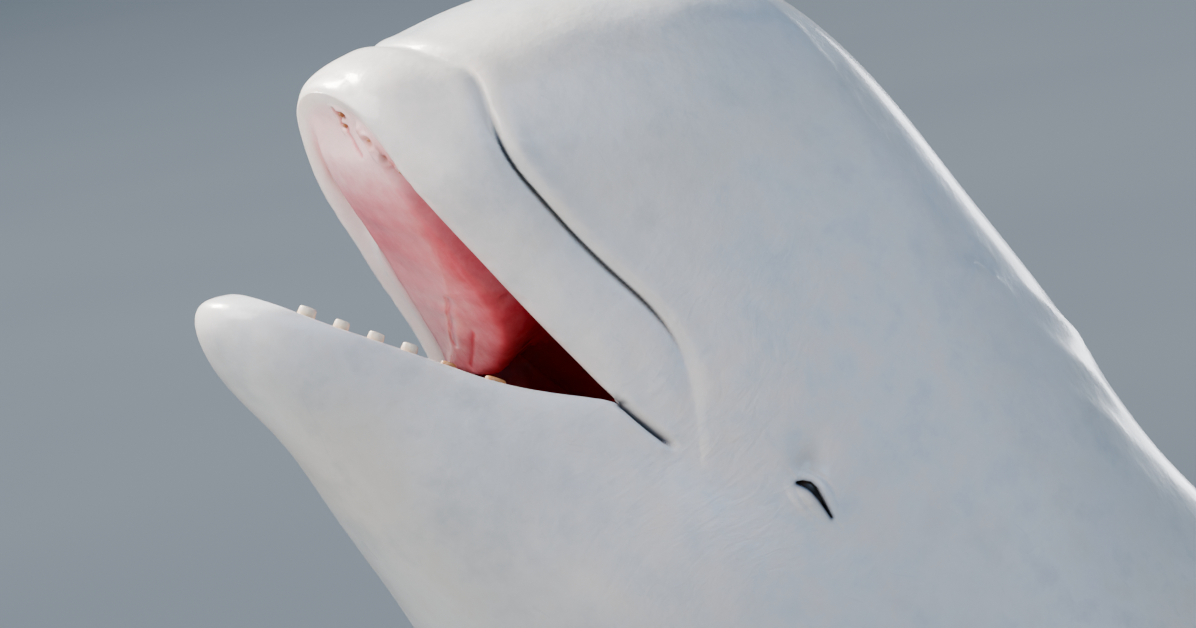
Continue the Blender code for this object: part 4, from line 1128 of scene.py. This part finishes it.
def skin_material():
    """Wet, living whale skin: off-white and faintly mottled outside, moist pink membrane inside the mouth."""
    material, tree, shader = new_material("wet_whale_skin")
    place = node(tree, "Attribute", {"attribute_name": "lay"}).outputs["Vector"]
    tone = node(tree, "Attribute", {"attribute_name": "tone"})
    parts = node(tree, "SeparateColor", links={"Color": tone})

    # The outside: cool and warm whites 20 cm across, and blotches 3 cm across.
    large = node(tree, "TexNoise", {"Scale": 5.0, "Detail": 3.0, "Roughness": 0.5}, {"Vector": place})
    mottle = node(tree, "TexNoise", {"Scale": 34.0, "Detail": 6.0, "Roughness": 0.62}, {"Vector": place})
    base = node(tree, "ValToRGB", links={"Fac": large},
                stops=((0.34, "d9e0e4"), (0.5, "e6e8e7"), (0.68, "eae5da")))
    spots = node(tree, "ValToRGB", links={"Fac": mottle},
                stops=((0.30, "d0d9df"), (0.50, "ffffff"), (0.74, "f5eee3")))
    outside = node(tree, "Mix", {"data_type": "RGBA", "blend_type": "MULTIPLY", 0: 0.5}, {6: base, 7: spots})
    # Round each eye the skin is paler, with bluish and warm patches 2 cm across.
    mirrored = node(tree, "VectorMath", {"operation": "ABSOLUTE"}, {0: place})
    apart = node(tree, "VectorMath", {"operation": "DISTANCE", 1: (0.27, 0.135, 0.03)}, {0: mirrored})
    cheek = node(tree, "MapRange", {"From Min": 0.03, "From Max": 0.16, "To Min": 0.85, "To Max": 0.0},
                 {"Value": apart})
    patch = node(tree, "TexNoise", {"Scale": 48.0, "Detail": 4.0, "Roughness": 0.55}, {"Vector": place})
    patches = node(tree, "ValToRGB", links={"Fac": patch},
                stops=((0.32, "dbe4ec"), (0.48, "efefee"), (0.66, "faf0e9")))
    outside = node(tree, "Mix", {"data_type": "RGBA"}, {0: cheek, 6: outside, 7: patches})
    # Pale streaks that wander along the skin: a painted sheen of wet skin.
    bend = node(tree, "TexNoise", {"Scale": 7.0, "Detail": 2.0}, {"Vector": place})
    bent = node(tree, "VectorMath", {"operation": "MULTIPLY_ADD", 1: (0.11, 0.11, 0.11)},
                {0: bend.outputs["Color"], 2: place})
    run = node(tree, "VectorMath", {"operation": "MULTIPLY", 1: (14.0, 48.0, 60.0)}, {0: bent})
    streak = node(tree, "TexNoise", {"Scale": 1.0, "Detail": 5.0, "Roughness": 0.6}, {"Vector": run})
    pale = node(tree, "MapRange", {"From Min": 0.55, "From Max": 0.78, "To Max": 0.30}, {"Value": streak})
    sheen_streaked = node(tree, "Mix", {"data_type": "RGBA", 7: colour("f4f6f6")}, {0: pale, 6: outside})
    # A few old scratches, each a millimetre wide and some centimetres long.
    turn = node(tree, "Mapping", {"Rotation": (0.3, 0.9, 0.2), "Scale": (22.0, 90.0, 380.0)},
                {"Vector": bent})
    scratch = node(tree, "TexNoise", {"Scale": 1.0, "Detail": 2.0, "Roughness": 0.5}, {"Vector": turn})
    thin = node(tree, "MapRange", {"From Min": 0.70, "From Max": 0.78, "To Max": 0.22}, {"Value": scratch})
    scratched = node(tree, "Mix", {"data_type": "RGBA", 7: colour("c3cbd0")}, {0: thin, 6: sheen_streaked})
    # Grey-green round each eye, from the tone's alpha outside the mouth: partly the skin's tint, partly
    # painted shade.
    shade = node(tree, "Mix", {"data_type": "RGBA", 7: colour("8f9a94")},
                 {0: tone.outputs["Alpha"], 6: scratched})

    # The mouth's lining, from pale gums to the dark throat, its darkest reds partly painted shade, stained
    # brown round the worn teeth.
    veins = node(tree, "TexNoise", {"Scale": 120.0, "Detail": 5.0, "Roughness": 0.65}, {"Vector": place})
    blotch = node(tree, "MapRange", {"To Min": -0.10, "To Max": 0.10}, {"Value": veins})
    depth = node(tree, "Math", {"operation": "ADD"}, {0: parts.outputs["Green"], 1: blotch})
    deep = node(tree, "ValToRGB", links={"Fac": depth},
                stops=((0.0, "f6e4e1"), (0.14, "f0cfd1"), (0.28, "de96a0"), (0.42, "cc6a77"),
                       (0.58, "b23247"), (0.78, "8a121d"), (1.0, "5a070a")))
    stained = node(tree, "Mix", {"data_type": "RGBA", 7: colour("a5562e")},
                   {0: tone.outputs["Alpha"], 6: deep})
    lined = node(tree, "Mix", {"data_type": "RGBA"}, {0: parts.outputs["Red"], 6: shade, 7: stained})
    # Painted shade, dark blue-grey, in the fold, the slits, the pits and the belly's marks.
    crease_shaded = node(tree, "Mix", {"data_type": "RGBA", 7: colour("525b69")},
                   {0: parts.outputs["Blue"], 6: lined})

    # Wet and half-dry patches a hand across.
    film = node(tree, "TexNoise", {"Scale": 11.0, "Detail": 3.0, "Roughness": 0.55}, {"Vector": place})
    rough = node(tree, "MapRange", {"From Min": 0.35, "From Max": 0.65, "To Min": 0.26, "To Max": 0.46},
                 {"Value": film})
    moist = node(tree, "Mix", {"data_type": "FLOAT", 3: 0.2}, {0: parts.outputs["Red"], 2: rough})

    # Fine wrinkles round the eye, 7 mm apart, over a skin that is never quite smooth.
    fold = node(tree, "VectorMath", {"operation": "MULTIPLY", 1: (140.0, 70.0, 48.0)}, {0: bent})
    wrinkles = node(tree, "TexNoise", {"Scale": 1.0, "Detail": 3.0, "Roughness": 0.5, "Distortion": 0.8},
                    {"Vector": fold})
    wrinkled = node(tree, "Math", {"operation": "MULTIPLY"}, {0: wrinkles, 1: cheek})
    pores = node(tree, "TexNoise", {"Scale": 340.0, "Detail": 4.0, "Roughness": 0.6}, {"Vector": place})
    lumps = node(tree, "TexNoise", {"Scale": 45.0, "Detail": 3.0, "Roughness": 0.5}, {"Vector": place})
    bump = node(tree, "Bump", {"Strength": 0.55, "Distance": 0.0016}, {"Height": wrinkled})
    bump = node(tree, "Bump", {"Strength": 0.5, "Distance": 0.0022}, {"Height": lumps, "Normal": bump})
    bump = node(tree, "Bump", {"Strength": 0.12, "Distance": 0.0004}, {"Height": streak, "Normal": bump})
    bump = node(tree, "Bump", {"Strength": 0.30, "Distance": 0.0005}, {"Height": pores, "Normal": bump})
    feed(shader, {"Subsurface Weight": 0.12, "Subsurface Radius": (0.012, 0.006, 0.004),
                  "Subsurface Scale": 1.0, "Coat Weight": 0.4, "Coat Roughness": 0.14, "IOR": 1.4},
         {"Base Color": crease_shaded, "Roughness": moist, "Normal": bump})
    return material


def eye_material():
    """A dark brown eye under a wet cornea. The gaze attribute is a place on the unit ball, its z outward."""
    material, tree, shader = new_material("wet_dark_eye")
    gaze = node(tree, "Attribute", {"attribute_name": "gaze"}).outputs["Vector"]
    wide = node(tree, "VectorMath", {"operation": "MULTIPLY", 1: (0.8, 1.15, 0.0)}, {0: gaze})
    off = node(tree, "VectorMath", {"operation": "LENGTH"}, {0: wide})
    fibre = node(tree, "TexNoise", {"Scale": 9.0, "Detail": 5.0}, {"Vector": gaze})
    edge = node(tree, "Math", {"operation": "MULTIPLY_ADD", 1: 0.12}, {0: fibre, 2: off})
    rings = node(tree, "ValToRGB", links={"Fac": edge},
                 stops=((0.0, "040303"), (0.34, "060404"), (0.42, "2a1a12"), (0.6, "1d120e"),
                        (0.72, "120c0c"), (0.86, "3a2a2a"), (1.0, "6d4f4f")))
    feed(shader, {"Roughness": 0.38, "Coat Weight": 0.2, "Coat Roughness": 0.25}, {"Base Color": rings})
    return material


def enamel_material():
    """Worn ivory-coloured enamel, brown at the root and on the rear teeth, finely cracked."""
    material, tree, shader = new_material("worn_tooth_enamel")
    place = node(tree, "TexCoord").outputs["Object"]
    stain = node(tree, "Attribute", {"attribute_name": "stain"})
    cloud = node(tree, "TexNoise", {"Scale": 260.0, "Detail": 5.0, "Roughness": 0.65}, {"Vector": place})
    level = node(tree, "Math", {"operation": "MULTIPLY_ADD", 1: 0.5, 2: -0.25}, {0: cloud})
    dirty = node(tree, "Math", {"operation": "ADD", "use_clamp": True}, {0: level, 1: stain.outputs["Fac"]})
    tint = node(tree, "ValToRGB", links={"Fac": dirty},
                stops=((0.0, "f3ead6"), (0.25, "ecdcbd"), (0.5, "dcb67c"), (0.75, "bd7f45"), (1.0, "84512c")))
    cracks = node(tree, "TexVoronoi", {"feature": "DISTANCE_TO_EDGE", "Scale": 420.0}, {"Vector": place})
    bump = node(tree, "Bump", {"Strength": 0.35, "Distance": 0.0002}, {"Height": cracks})
    bump = node(tree, "Bump", {"Strength": 0.4, "Distance": 0.0004}, {"Height": cloud, "Normal": bump})
    rough = node(tree, "MapRange", {"To Min": 0.28, "To Max": 0.5}, {"Value": cloud})
    feed(shader, {"Coat Weight": 0.3}, {"Base Color": tint, "Roughness": rough, "Normal": bump})
    return material


def tongue_material():
    """Moist muscle under a rough membrane: pink, paler on its ridges, with papillae a millimetre apart."""
    material, tree, shader = new_material("moist_tongue_membrane")
    place = node(tree, "TexCoord").outputs["Object"]
    flush = node(tree, "TexNoise", {"Scale": 60.0, "Detail": 4.0, "Roughness": 0.6}, {"Vector": place})
    tint = node(tree, "ValToRGB", links={"Fac": flush},
                stops=((0.3, "a34a5a"), (0.5, "bf6a78"), (0.7, "d59aa0")))
    buds = node(tree, "TexVoronoi", {"Scale": 900.0}, {"Vector": place})
    bump = node(tree, "Bump", {"Strength": 0.5, "Distance": 0.0006}, {"Height": buds})
    bump = node(tree, "Bump", {"Strength": 0.5, "Distance": 0.002}, {"Height": flush, "Normal": bump})
    rough = node(tree, "MapRange", {"To Min": 0.18, "To Max": 0.42}, {"Value": flush})
    feed(shader, {"Subsurface Weight": 0.15, "Subsurface Radius": (0.010, 0.004, 0.003), "Coat Weight": 0.5,
                  "Coat Roughness": 0.1}, {"Base Color": tint, "Roughness": rough, "Normal": bump})
    return material


def painted_board_material():
    """Plywood in matt dark grey paint, with a roller's stipple 2 mm apart and a faint grain."""
    material, tree, shader = new_material("matt_painted_plywood")
    place = node(tree, "TexCoord").outputs["Object"]
    coats = node(tree, "TexNoise", {"Scale": 3.5, "Detail": 4.0, "Roughness": 0.6}, {"Vector": place})
    tint = node(tree, "ValToRGB", links={"Fac": coats},
                stops=((0.3, "2f3336"), (0.5, "34383b"), (0.7, "3b4043")))
    scuff = node(tree, "TexNoise", {"Scale": 22.0, "Detail": 8.0, "Roughness": 0.75, "Distortion": 0.6},
                 {"Vector": place})
    worn = node(tree, "MapRange", {"From Min": 0.62, "From Max": 0.78, "To Max": 0.35}, {"Value": scuff})
    scuffed = node(tree, "Mix", {"data_type": "RGBA", 7: colour("5c6164")}, {0: worn, 6: tint})
    along = node(tree, "Mapping", {"Scale": (9.0, 260.0, 260.0)}, {"Vector": place})
    grain = node(tree, "TexNoise", {"Scale": 1.0, "Detail": 3.0, "Roughness": 0.6}, {"Vector": along})
    stipple = node(tree, "TexNoise", {"Scale": 500.0, "Detail": 2.0}, {"Vector": place})
    rough = node(tree, "MapRange", {"To Min": 0.48, "To Max": 0.72}, {"Value": scuff})
    bump = node(tree, "Bump", {"Strength": 0.4, "Distance": 0.0004}, {"Height": grain})
    bump = node(tree, "Bump", {"Strength": 0.35, "Distance": 0.0003}, {"Height": stipple, "Normal": bump})
    feed(shader, {}, {"Base Color": scuffed, "Roughness": rough, "Normal": bump})
    return material


def steel_material():
    """Steel tube and plate in satin grey paint: a 0.6 mm orange peel and a few paler scuffs from handling."""
    material, tree, shader = new_material("satin_painted_steel")
    place = node(tree, "TexCoord").outputs["Object"]
    peel = node(tree, "TexNoise", {"Scale": 1600.0, "Detail": 2.0}, {"Vector": place})
    scuff = node(tree, "TexNoise", {"Scale": 24.0, "Detail": 6.0, "Roughness": 0.7}, {"Vector": place})
    worn = node(tree, "MapRange", {"From Min": 0.58, "From Max": 0.74, "To Max": 0.4}, {"Value": scuff})
    tint = node(tree, "Mix", {"data_type": "RGBA", 6: colour("494c50"), 7: colour("7b8085")}, {0: worn})
    rough = node(tree, "MapRange", {"To Min": 0.34, "To Max": 0.52}, {"Value": scuff})
    bump = node(tree, "Bump", {"Strength": 0.3, "Distance": 0.0001}, {"Height": peel})
    feed(shader, {"Coat Weight": 0.15}, {"Base Color": tint, "Roughness": rough, "Normal": bump})
    return material


def zinc_material():
    """Bright zinc plate on the fixings, faintly blue, its crystals half a millimetre across."""
    material, tree, shader = new_material("zinc_plated_steel")
    place = node(tree, "TexCoord").outputs["Object"]
    crystal = node(tree, "TexVoronoi", {"Scale": 2000.0}, {"Vector": place})
    tint = node(tree, "ValToRGB", links={"Fac": crystal}, stops=((0.0, "aab2ba"), (1.0, "d3d8dc")))
    rough = node(tree, "MapRange", {"To Min": 0.24, "To Max": 0.4}, {"Value": crystal})
    feed(shader, {"Metallic": 1.0}, {"Base Color": tint, "Roughness": rough})
    return material


def floor_material():
    """Seamless pale studio paper, matt, with a faint tooth and a slow drift in its tone."""
    material, tree, shader = new_material("pale_studio_paper")
    place = node(tree, "TexCoord").outputs["Object"]
    drift = node(tree, "TexNoise", {"Scale": 0.35, "Detail": 2.0}, {"Vector": place})
    tint = node(tree, "ValToRGB", links={"Fac": drift}, stops=((0.3, "cdd2d5"), (0.7, "d5d9db")))
    tooth = node(tree, "TexNoise", {"Scale": 900.0, "Detail": 2.0}, {"Vector": place})
    bump = node(tree, "Bump", {"Strength": 0.15, "Distance": 0.0003}, {"Height": tooth})
    feed(shader, {"Roughness": 0.85}, {"Base Color": tint, "Normal": bump})
    return material


# The eyes, teeth and tongue.

def turned(way):
    """A direction of the straight head, turned as the head is."""
    angle = math.radians(HEAD_SLOPE)
    return Vector((way[0] * math.cos(angle) + way[2] * math.sin(angle), way[1],
                   way[2] * math.cos(angle) - way[0] * math.sin(angle)))


def placed(point):
    """A point of the straight head, which doesn't bend, in the pose."""
    return turned(point) * CM + Vector((SPINE_START[0], 0, SPINE_START[1]))


def head_matrix(point, ahead, outward):
    """A matrix at a point of the straight head, its x along one direction and its z outward."""
    z = turned(outward).normalized()
    y = z.cross(turned(ahead)).normalized()
    matrix = Matrix((y.cross(z), y, z)).transposed().to_4x4()
    matrix.translation = placed(point)
    return matrix


def joined(pieces):
    deselect()
    for piece in pieces:
        piece.select_set(True)
    bpy.context.view_layer.objects.active = pieces[0]
    bpy.ops.object.join()
    return bpy.context.object


def pick_top(piece):
    """Selects only the faces of the new piece that look up, and stays in edit mode."""
    bpy.ops.object.mode_set(mode="EDIT")
    bpy.ops.mesh.select_all(action="DESELECT")
    bpy.ops.object.mode_set(mode="OBJECT")
    for polygon in piece.data.polygons:
        polygon.select = polygon.normal.z > 0.9
    bpy.ops.object.mode_set(mode="EDIT")


def step_top(steps):
    """Insets the selected faces and moves them up, once for each (inset, rise), and leaves edit mode."""
    for inset, rise in steps:
        bpy.ops.mesh.inset(thickness=inset)
        bpy.ops.transform.translate(value=(0, 0, rise))
    bpy.ops.object.mode_set(mode="OBJECT")


def fix_place(piece):
    """Puts a piece's place into its mesh."""
    piece.data.transform(piece.matrix_world)
    piece.matrix_world = Matrix.Identity(4)


def settle(piece, name, material):
    """Puts a finished piece's place into its mesh, names it and gives it its material."""
    fix_place(piece)
    piece.name = name
    piece.data.name = name
    piece.data.materials.clear()
    piece.data.materials.append(material)
    piece.data.shade_smooth()
    return piece


def make_eye(name, side, material):
    place, along, up, normal = eye_frame(side)
    deselect()
    bpy.ops.mesh.primitive_uv_sphere_add(segments=40, ring_count=24, radius=EYE_RADIUS * CM)
    ball = bpy.context.object
    bpy.ops.object.mode_set(mode="EDIT")
    bpy.ops.mesh.select_all(action="DESELECT")
    bpy.ops.object.mode_set(mode="OBJECT")
    for vert in ball.data.vertices:
        vert.select = vert.co.z > EYE_RADIUS * CM * 0.8
    bpy.ops.object.mode_set(mode="EDIT")
    bpy.ops.transform.translate(value=(0, 0, CORNEA_BULGE), use_proportional_edit=True,
                                proportional_size=CORNEA_REACH)
    bpy.ops.object.mode_set(mode="OBJECT")
    ways = np.array([vert.co.normalized() for vert in ball.data.vertices])
    store(ball.data, "gaze", "FLOAT_VECTOR", ways)
    centre = place - normal * EYE_SUNK + along * EYE_SHIFT[0] + up * EYE_SHIFT[1]
    ball.matrix_world = head_matrix(centre, along, normal)
    return settle(ball, name, material)


def make_peg():
    """One worn, peg-like tooth, a unit in radius at its root, with a dished crown at PEG_TOP."""
    deselect()
    bpy.ops.mesh.primitive_cylinder_add(vertices=14, radius=1.0, depth=2.4, location=(0, 0, -0.2))
    peg = bpy.context.object
    pick_top(peg)
    bpy.ops.transform.resize(value=(0.8, 0.74, 1))
    step_top(((0.24, 0.10), (0.22, -0.05)))
    bevel = peg.modifiers.new("Bevel", "BEVEL")
    bevel.width = 0.12
    bevel.segments = 2
    bevel.limit_method = "ANGLE"
    subdivide = peg.modifiers.new("Subdivision", "SUBSURF")
    subdivide.levels = subdivide.render_levels = 1
    apply_modifiers(peg)
    return peg


def lip_way(station):
    """The way straight up from the lower jaw's lip, in the head's plane of symmetry."""
    ahead, behind = lower_lip(station - 0.4), lower_lip(station + 0.4)
    way = np.array([ahead[2] - behind[2], 0, behind[0] - ahead[0]], float)
    return way / np.linalg.norm(way)


def make_teeth(name, places, seed, material):
    """Copies of the peg at each (root, way, height above the root's gum, size, stain)."""
    chance = np.random.default_rng(seed)
    peg = make_peg()
    made = []
    for root, way, rise, size, stain in places:
        way = way + chance.uniform(-TOOTH_LEAN, TOOTH_LEAN, 3)
        copy = add_object(name, peg.data.copy())
        scale = size * CM * chance.uniform(0.92, 1.08)
        top = rise * chance.uniform(0.88, 1.12) - PEG_TOP * size
        place = head_matrix(root + way * top, np.array([1.0, 0, 0.1]), way)
        place = place @ Matrix.Diagonal((scale * chance.uniform(0.95, 1.15), scale * 0.85, scale, 1))
        low = np.array([vert.co.z for vert in copy.data.vertices])
        store(copy.data, "stain", "FLOAT", np.clip(stain + 0.5 * (1 - smooth(low, 0.2, 1.0)), 0, 1))
        copy.data.transform(place)
        made.append(copy)
    bpy.data.objects.remove(peg, do_unlink=True)
    return settle(joined(made), name, material)


def upper_teeth(material):
    """Stubs worn down almost to the gum."""
    places = []
    for station, out in UPPER_TEETH:
        row = backs([station], 9)[0]
        root = gum_point(row, palate_shape(station), row[0, 1] - out, -1)
        places.append((root, -palate_shape(station)[0], UPPER_TOOTH_RISE, UPPER_TOOTH_SIZE, 0.9))
    return make_teeth("teeth_upper", places, 3, material)


def lower_teeth(material):
    """Pegs that stand above the lip in front and are worn lower towards the rear."""
    places = []
    for station, row in zip(LOWER_TEETH, bellies(LOWER_TEETH, 9)):
        rise = (LOWER_TOOTH_RISE - LOWER_TOOTH_WORN[0] * float(smooth(station, 9.6, 11.6))
                - LOWER_TOOTH_WORN[1] * float(smooth(station, 15, 16.4)))
        stain = 0.12 + 0.6 * float(smooth(station, 9.6, 11.6))
        size = LOWER_TOOTH_SIZE * (1 + 0.3 * float(smooth(station, 12, 14)))
        for side in (1, -1):
            root = row[0] * [1, side, 1] - np.array([0, side * TOOTH_INSET, 0])
            places.append((root, lip_way(station), rise, size, stain))
    return make_teeth("teeth_lower", places, 5, material)


def make_tongue(material):
    row = bellies([TONGUE_STATION], 9)[0]
    way = floor_shape(TONGUE_STATION, row)[0]
    down = way / np.linalg.norm(way)
    ahead = np.array([down[2], 0, -down[0]])
    centre = (row[0] + row[-1]) / 2 + down * FLOOR_DEPTH * np.linalg.norm(way) * TONGUE_DEEP
    deselect()
    bpy.ops.mesh.primitive_uv_sphere_add(segments=64, ring_count=40, radius=1.0)
    tongue = bpy.context.object
    bpy.ops.object.mode_set(mode="EDIT")
    bpy.ops.mesh.subdivide(number_cuts=1, smoothness=1.0)
    bpy.ops.object.mode_set(mode="OBJECT")
    # A groove runs down its middle, and its edge is finely scalloped where it meets the teeth.
    for vert in tongue.data.vertices:
        place = vert.co.copy()
        top = max(place.z, 0.0)
        groove = math.exp(-(place.y / 0.12) ** 2) * top
        scallop = math.exp(-(place.z / 0.35) ** 2) * math.sin(18 * math.atan2(place.y, place.x))
        vert.co.z -= 0.16 * groove
        vert.co.x *= 1 + 0.012 * scallop
        vert.co.y *= 1 + 0.03 * scallop
    scale = Matrix.Diagonal((*[v * CM for v in TONGUE_SIZE], 1))
    tongue.matrix_world = head_matrix(centre, ahead, -down) @ scale
    return settle(tongue, "tongue_flesh", material)


# The stand's fixings.

def make_bolt():
    """A hexagon-headed bolt with its washer, standing on z = 0: an 8 mm bolt, 13 mm across the flats."""
    deselect()
    bpy.ops.mesh.primitive_cylinder_add(vertices=28, radius=WASHER_RADIUS, depth=WASHER_THICK,
                                        location=(0, 0, WASHER_THICK / 2))
    washer = bpy.context.object
    bpy.ops.object.mode_set(mode="EDIT")
    bpy.ops.mesh.bevel(offset=0.0004, segments=1, affect="EDGES")
    bpy.ops.object.mode_set(mode="OBJECT")
    bpy.ops.mesh.primitive_cylinder_add(vertices=6, radius=BOLT_RADIUS, depth=BOLT_HEIGHT,
                                        location=(0, 0, WASHER_THICK + BOLT_HEIGHT / 2))
    head = bpy.context.object
    pick_top(head)
    step_top(((0.0009, 0.0006), (0.0016, -0.0004)))
    bevel = head.modifiers.new("Bevel", "BEVEL")
    bevel.width = 0.0003
    bevel.segments = 2
    apply_modifiers(head)
    bolt = joined([head, washer])
    fix_place(bolt)
    return bolt


def make_bolts(material):
    """Four bolts on each flange, about halfway between the rod and the flange's edge."""
    bolt = make_bolt()
    made = []
    for end in ("front", "rear"):
        low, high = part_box("stand_flange_" + end)
        centre = ((low[0] + high[0]) / 2, (low[1] + high[1]) / 2)
        out = (high[1] - low[1]) / 2 * BOLTS_OUT
        for k in range(BOLTS_EACH):
            angle = math.radians(45 + 90 * k)
            copy = add_object("stand_bolts", bolt.data.copy())
            x, y = centre[0] + out * math.cos(angle), centre[1] + out * math.sin(angle)
            copy.data.transform(Matrix.Translation((x, y, high[2])) @ Matrix.Rotation(0.4 + k, 4, "Z"))
            made.append(copy)
    bpy.data.objects.remove(bolt, do_unlink=True)
    bolts = settle(joined(made), "stand_bolts", material)
    bolts.data.shade_flat()
    return bolts


# The camera and studio.

def head_ways():
    """The camera's backward, right and upward directions in the straight head's frame."""
    forward, under = CAMERA_SIDE
    back = np.array([-forward, -math.sqrt(1 - forward**2 - under**2), -under])
    axis = np.array([1.0, 0, 0]) - back[0] * back
    axis /= np.linalg.norm(axis)
    over = np.cross(axis, back)
    over *= np.sign(over[2])
    roll = math.radians(CAMERA_ROLL)
    return back, axis * math.cos(roll) + over * math.sin(roll), over * math.cos(roll) - axis * math.sin(roll)


def make_camera():
    back, right, up = head_ways()
    offset = np.array(LIP_TIP) - CAMERA_FROM
    depth = CAMERA_DISTANCE - offset @ back
    tip = np.array([offset @ right, -(offset @ up)]) * FOCAL_PIXELS / depth
    centre = np.array(PICTURE) / 2 - (np.array(LIP_TIP_PIXEL) - tip)
    look = turned(-back * FOCAL_PIXELS + right * centre[0] - up * centre[1]).normalized()
    side = look.cross(turned(up)).normalized()
    matrix = Matrix((side, side.cross(look), -look)).transposed().to_4x4()
    matrix.translation = placed(np.array(CAMERA_FROM) + back * CAMERA_DISTANCE)
    camera = add_object("camera", bpy.data.cameras.new("camera"))
    camera.matrix_world = matrix
    camera.data.sensor_width = SENSOR
    camera.data.lens = FOCAL_PIXELS / PICTURE[0] * SENSOR
    camera.data.clip_end = 200.0
    bpy.context.scene.camera = camera


def area_light(name, place, target, size, power, code):
    data = bpy.data.lights.new(name, "AREA")
    data.shape = "RECTANGLE"
    data.size, data.size_y = size
    data.energy = power
    data.color = colour(code)[:3]
    light = add_object(name, data)
    light.location = place
    light.visible_camera = False
    light.rotation_euler = (Vector(place) - Vector(target)).to_track_quat("Z", "Y").to_euler()


def make_studio():
    deselect()
    bpy.ops.mesh.primitive_plane_add(size=FLOOR_SIZE)
    floor = settle(bpy.context.object, "studio_floor", floor_material())
    world = bpy.data.worlds.new("studio")
    bpy.context.scene.world = world
    world.use_nodes = True
    feed(world.node_tree.nodes["Background"], {"Color": colour("a3b6cd"), "Strength": 0.36})
    back, right, up = (turned(way) for way in head_ways())
    head = placed(CAMERA_FROM)
    beyond = head - back * 20.0
    # Name, place, what it points at, size, power and colour.
    lights = (
        ("key", head - right * 2.5 + up * 2.6 - back * 1.9, head - right * 0.1, (1.1, 1.1), 690, "fff8ee"),
        ("fill", head + back * 3.2 + right * 1.2 + up * 2.6, head + right * 0.1, (2.6, 2.6), 92, "b0cdf6"),
        ("front", head - right * 1.3 - up * 0.7 + back * 2.3, head - right * 0.1, (1.3, 1.3), 15, "ffe6cc"),
        ("mouth", placed((-24.0, -1.0, -20.0)), placed((9.0, 1.0, -7.0)), (0.22, 0.22), 2.2, "fff2ee"),
        ("rim", head + right * 1.25 + up * 0.8 - back * 2.7, head + right * 0.2, (0.7, 0.9), 22, "f4f8ff"),
        ("body", (2.8, -4.6, 3.4), (0.9, 0, 0.9), (3.5, 3.5), 30, "f2f6ff"),
        ("backdrop", (beyond.x, beyond.y, 8.0), (beyond.x, beyond.y, 0), (18, 18), 620, "e9f0f6"))
    for light in lights:
        area_light(*light)


skin = make_skin(skin_material())
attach(skin, "root")
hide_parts("head", "lower_jaw", "neck", "thorax", "abdomen", "tail_stock",
            "flipper_left", "flipper_right", "fluke_left", "fluke_right")

eye_look = eye_material()
for name, side in (("left", -1), ("right", 1)):
    ball = make_eye("eyeball_" + name, side, eye_look)
    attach(ball, "root")
    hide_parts("eye_" + name)

enamel = enamel_material()
for teeth in (upper_teeth(enamel), lower_teeth(enamel)):
    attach(teeth, "root")
tongue = make_tongue(tongue_material())
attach(tongue, "root")
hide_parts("tongue")

bolts = make_bolts(zinc_material())
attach(bolts, "root")
painted_board = painted_board_material()
steel = steel_material()
for name, part in frame["nodes"].items():
    if name.startswith("stand_"):
        look = painted_board if name == "stand_base" else steel
        for slot in part.material_slots:
            slot.material = look

make_camera()
make_studio()
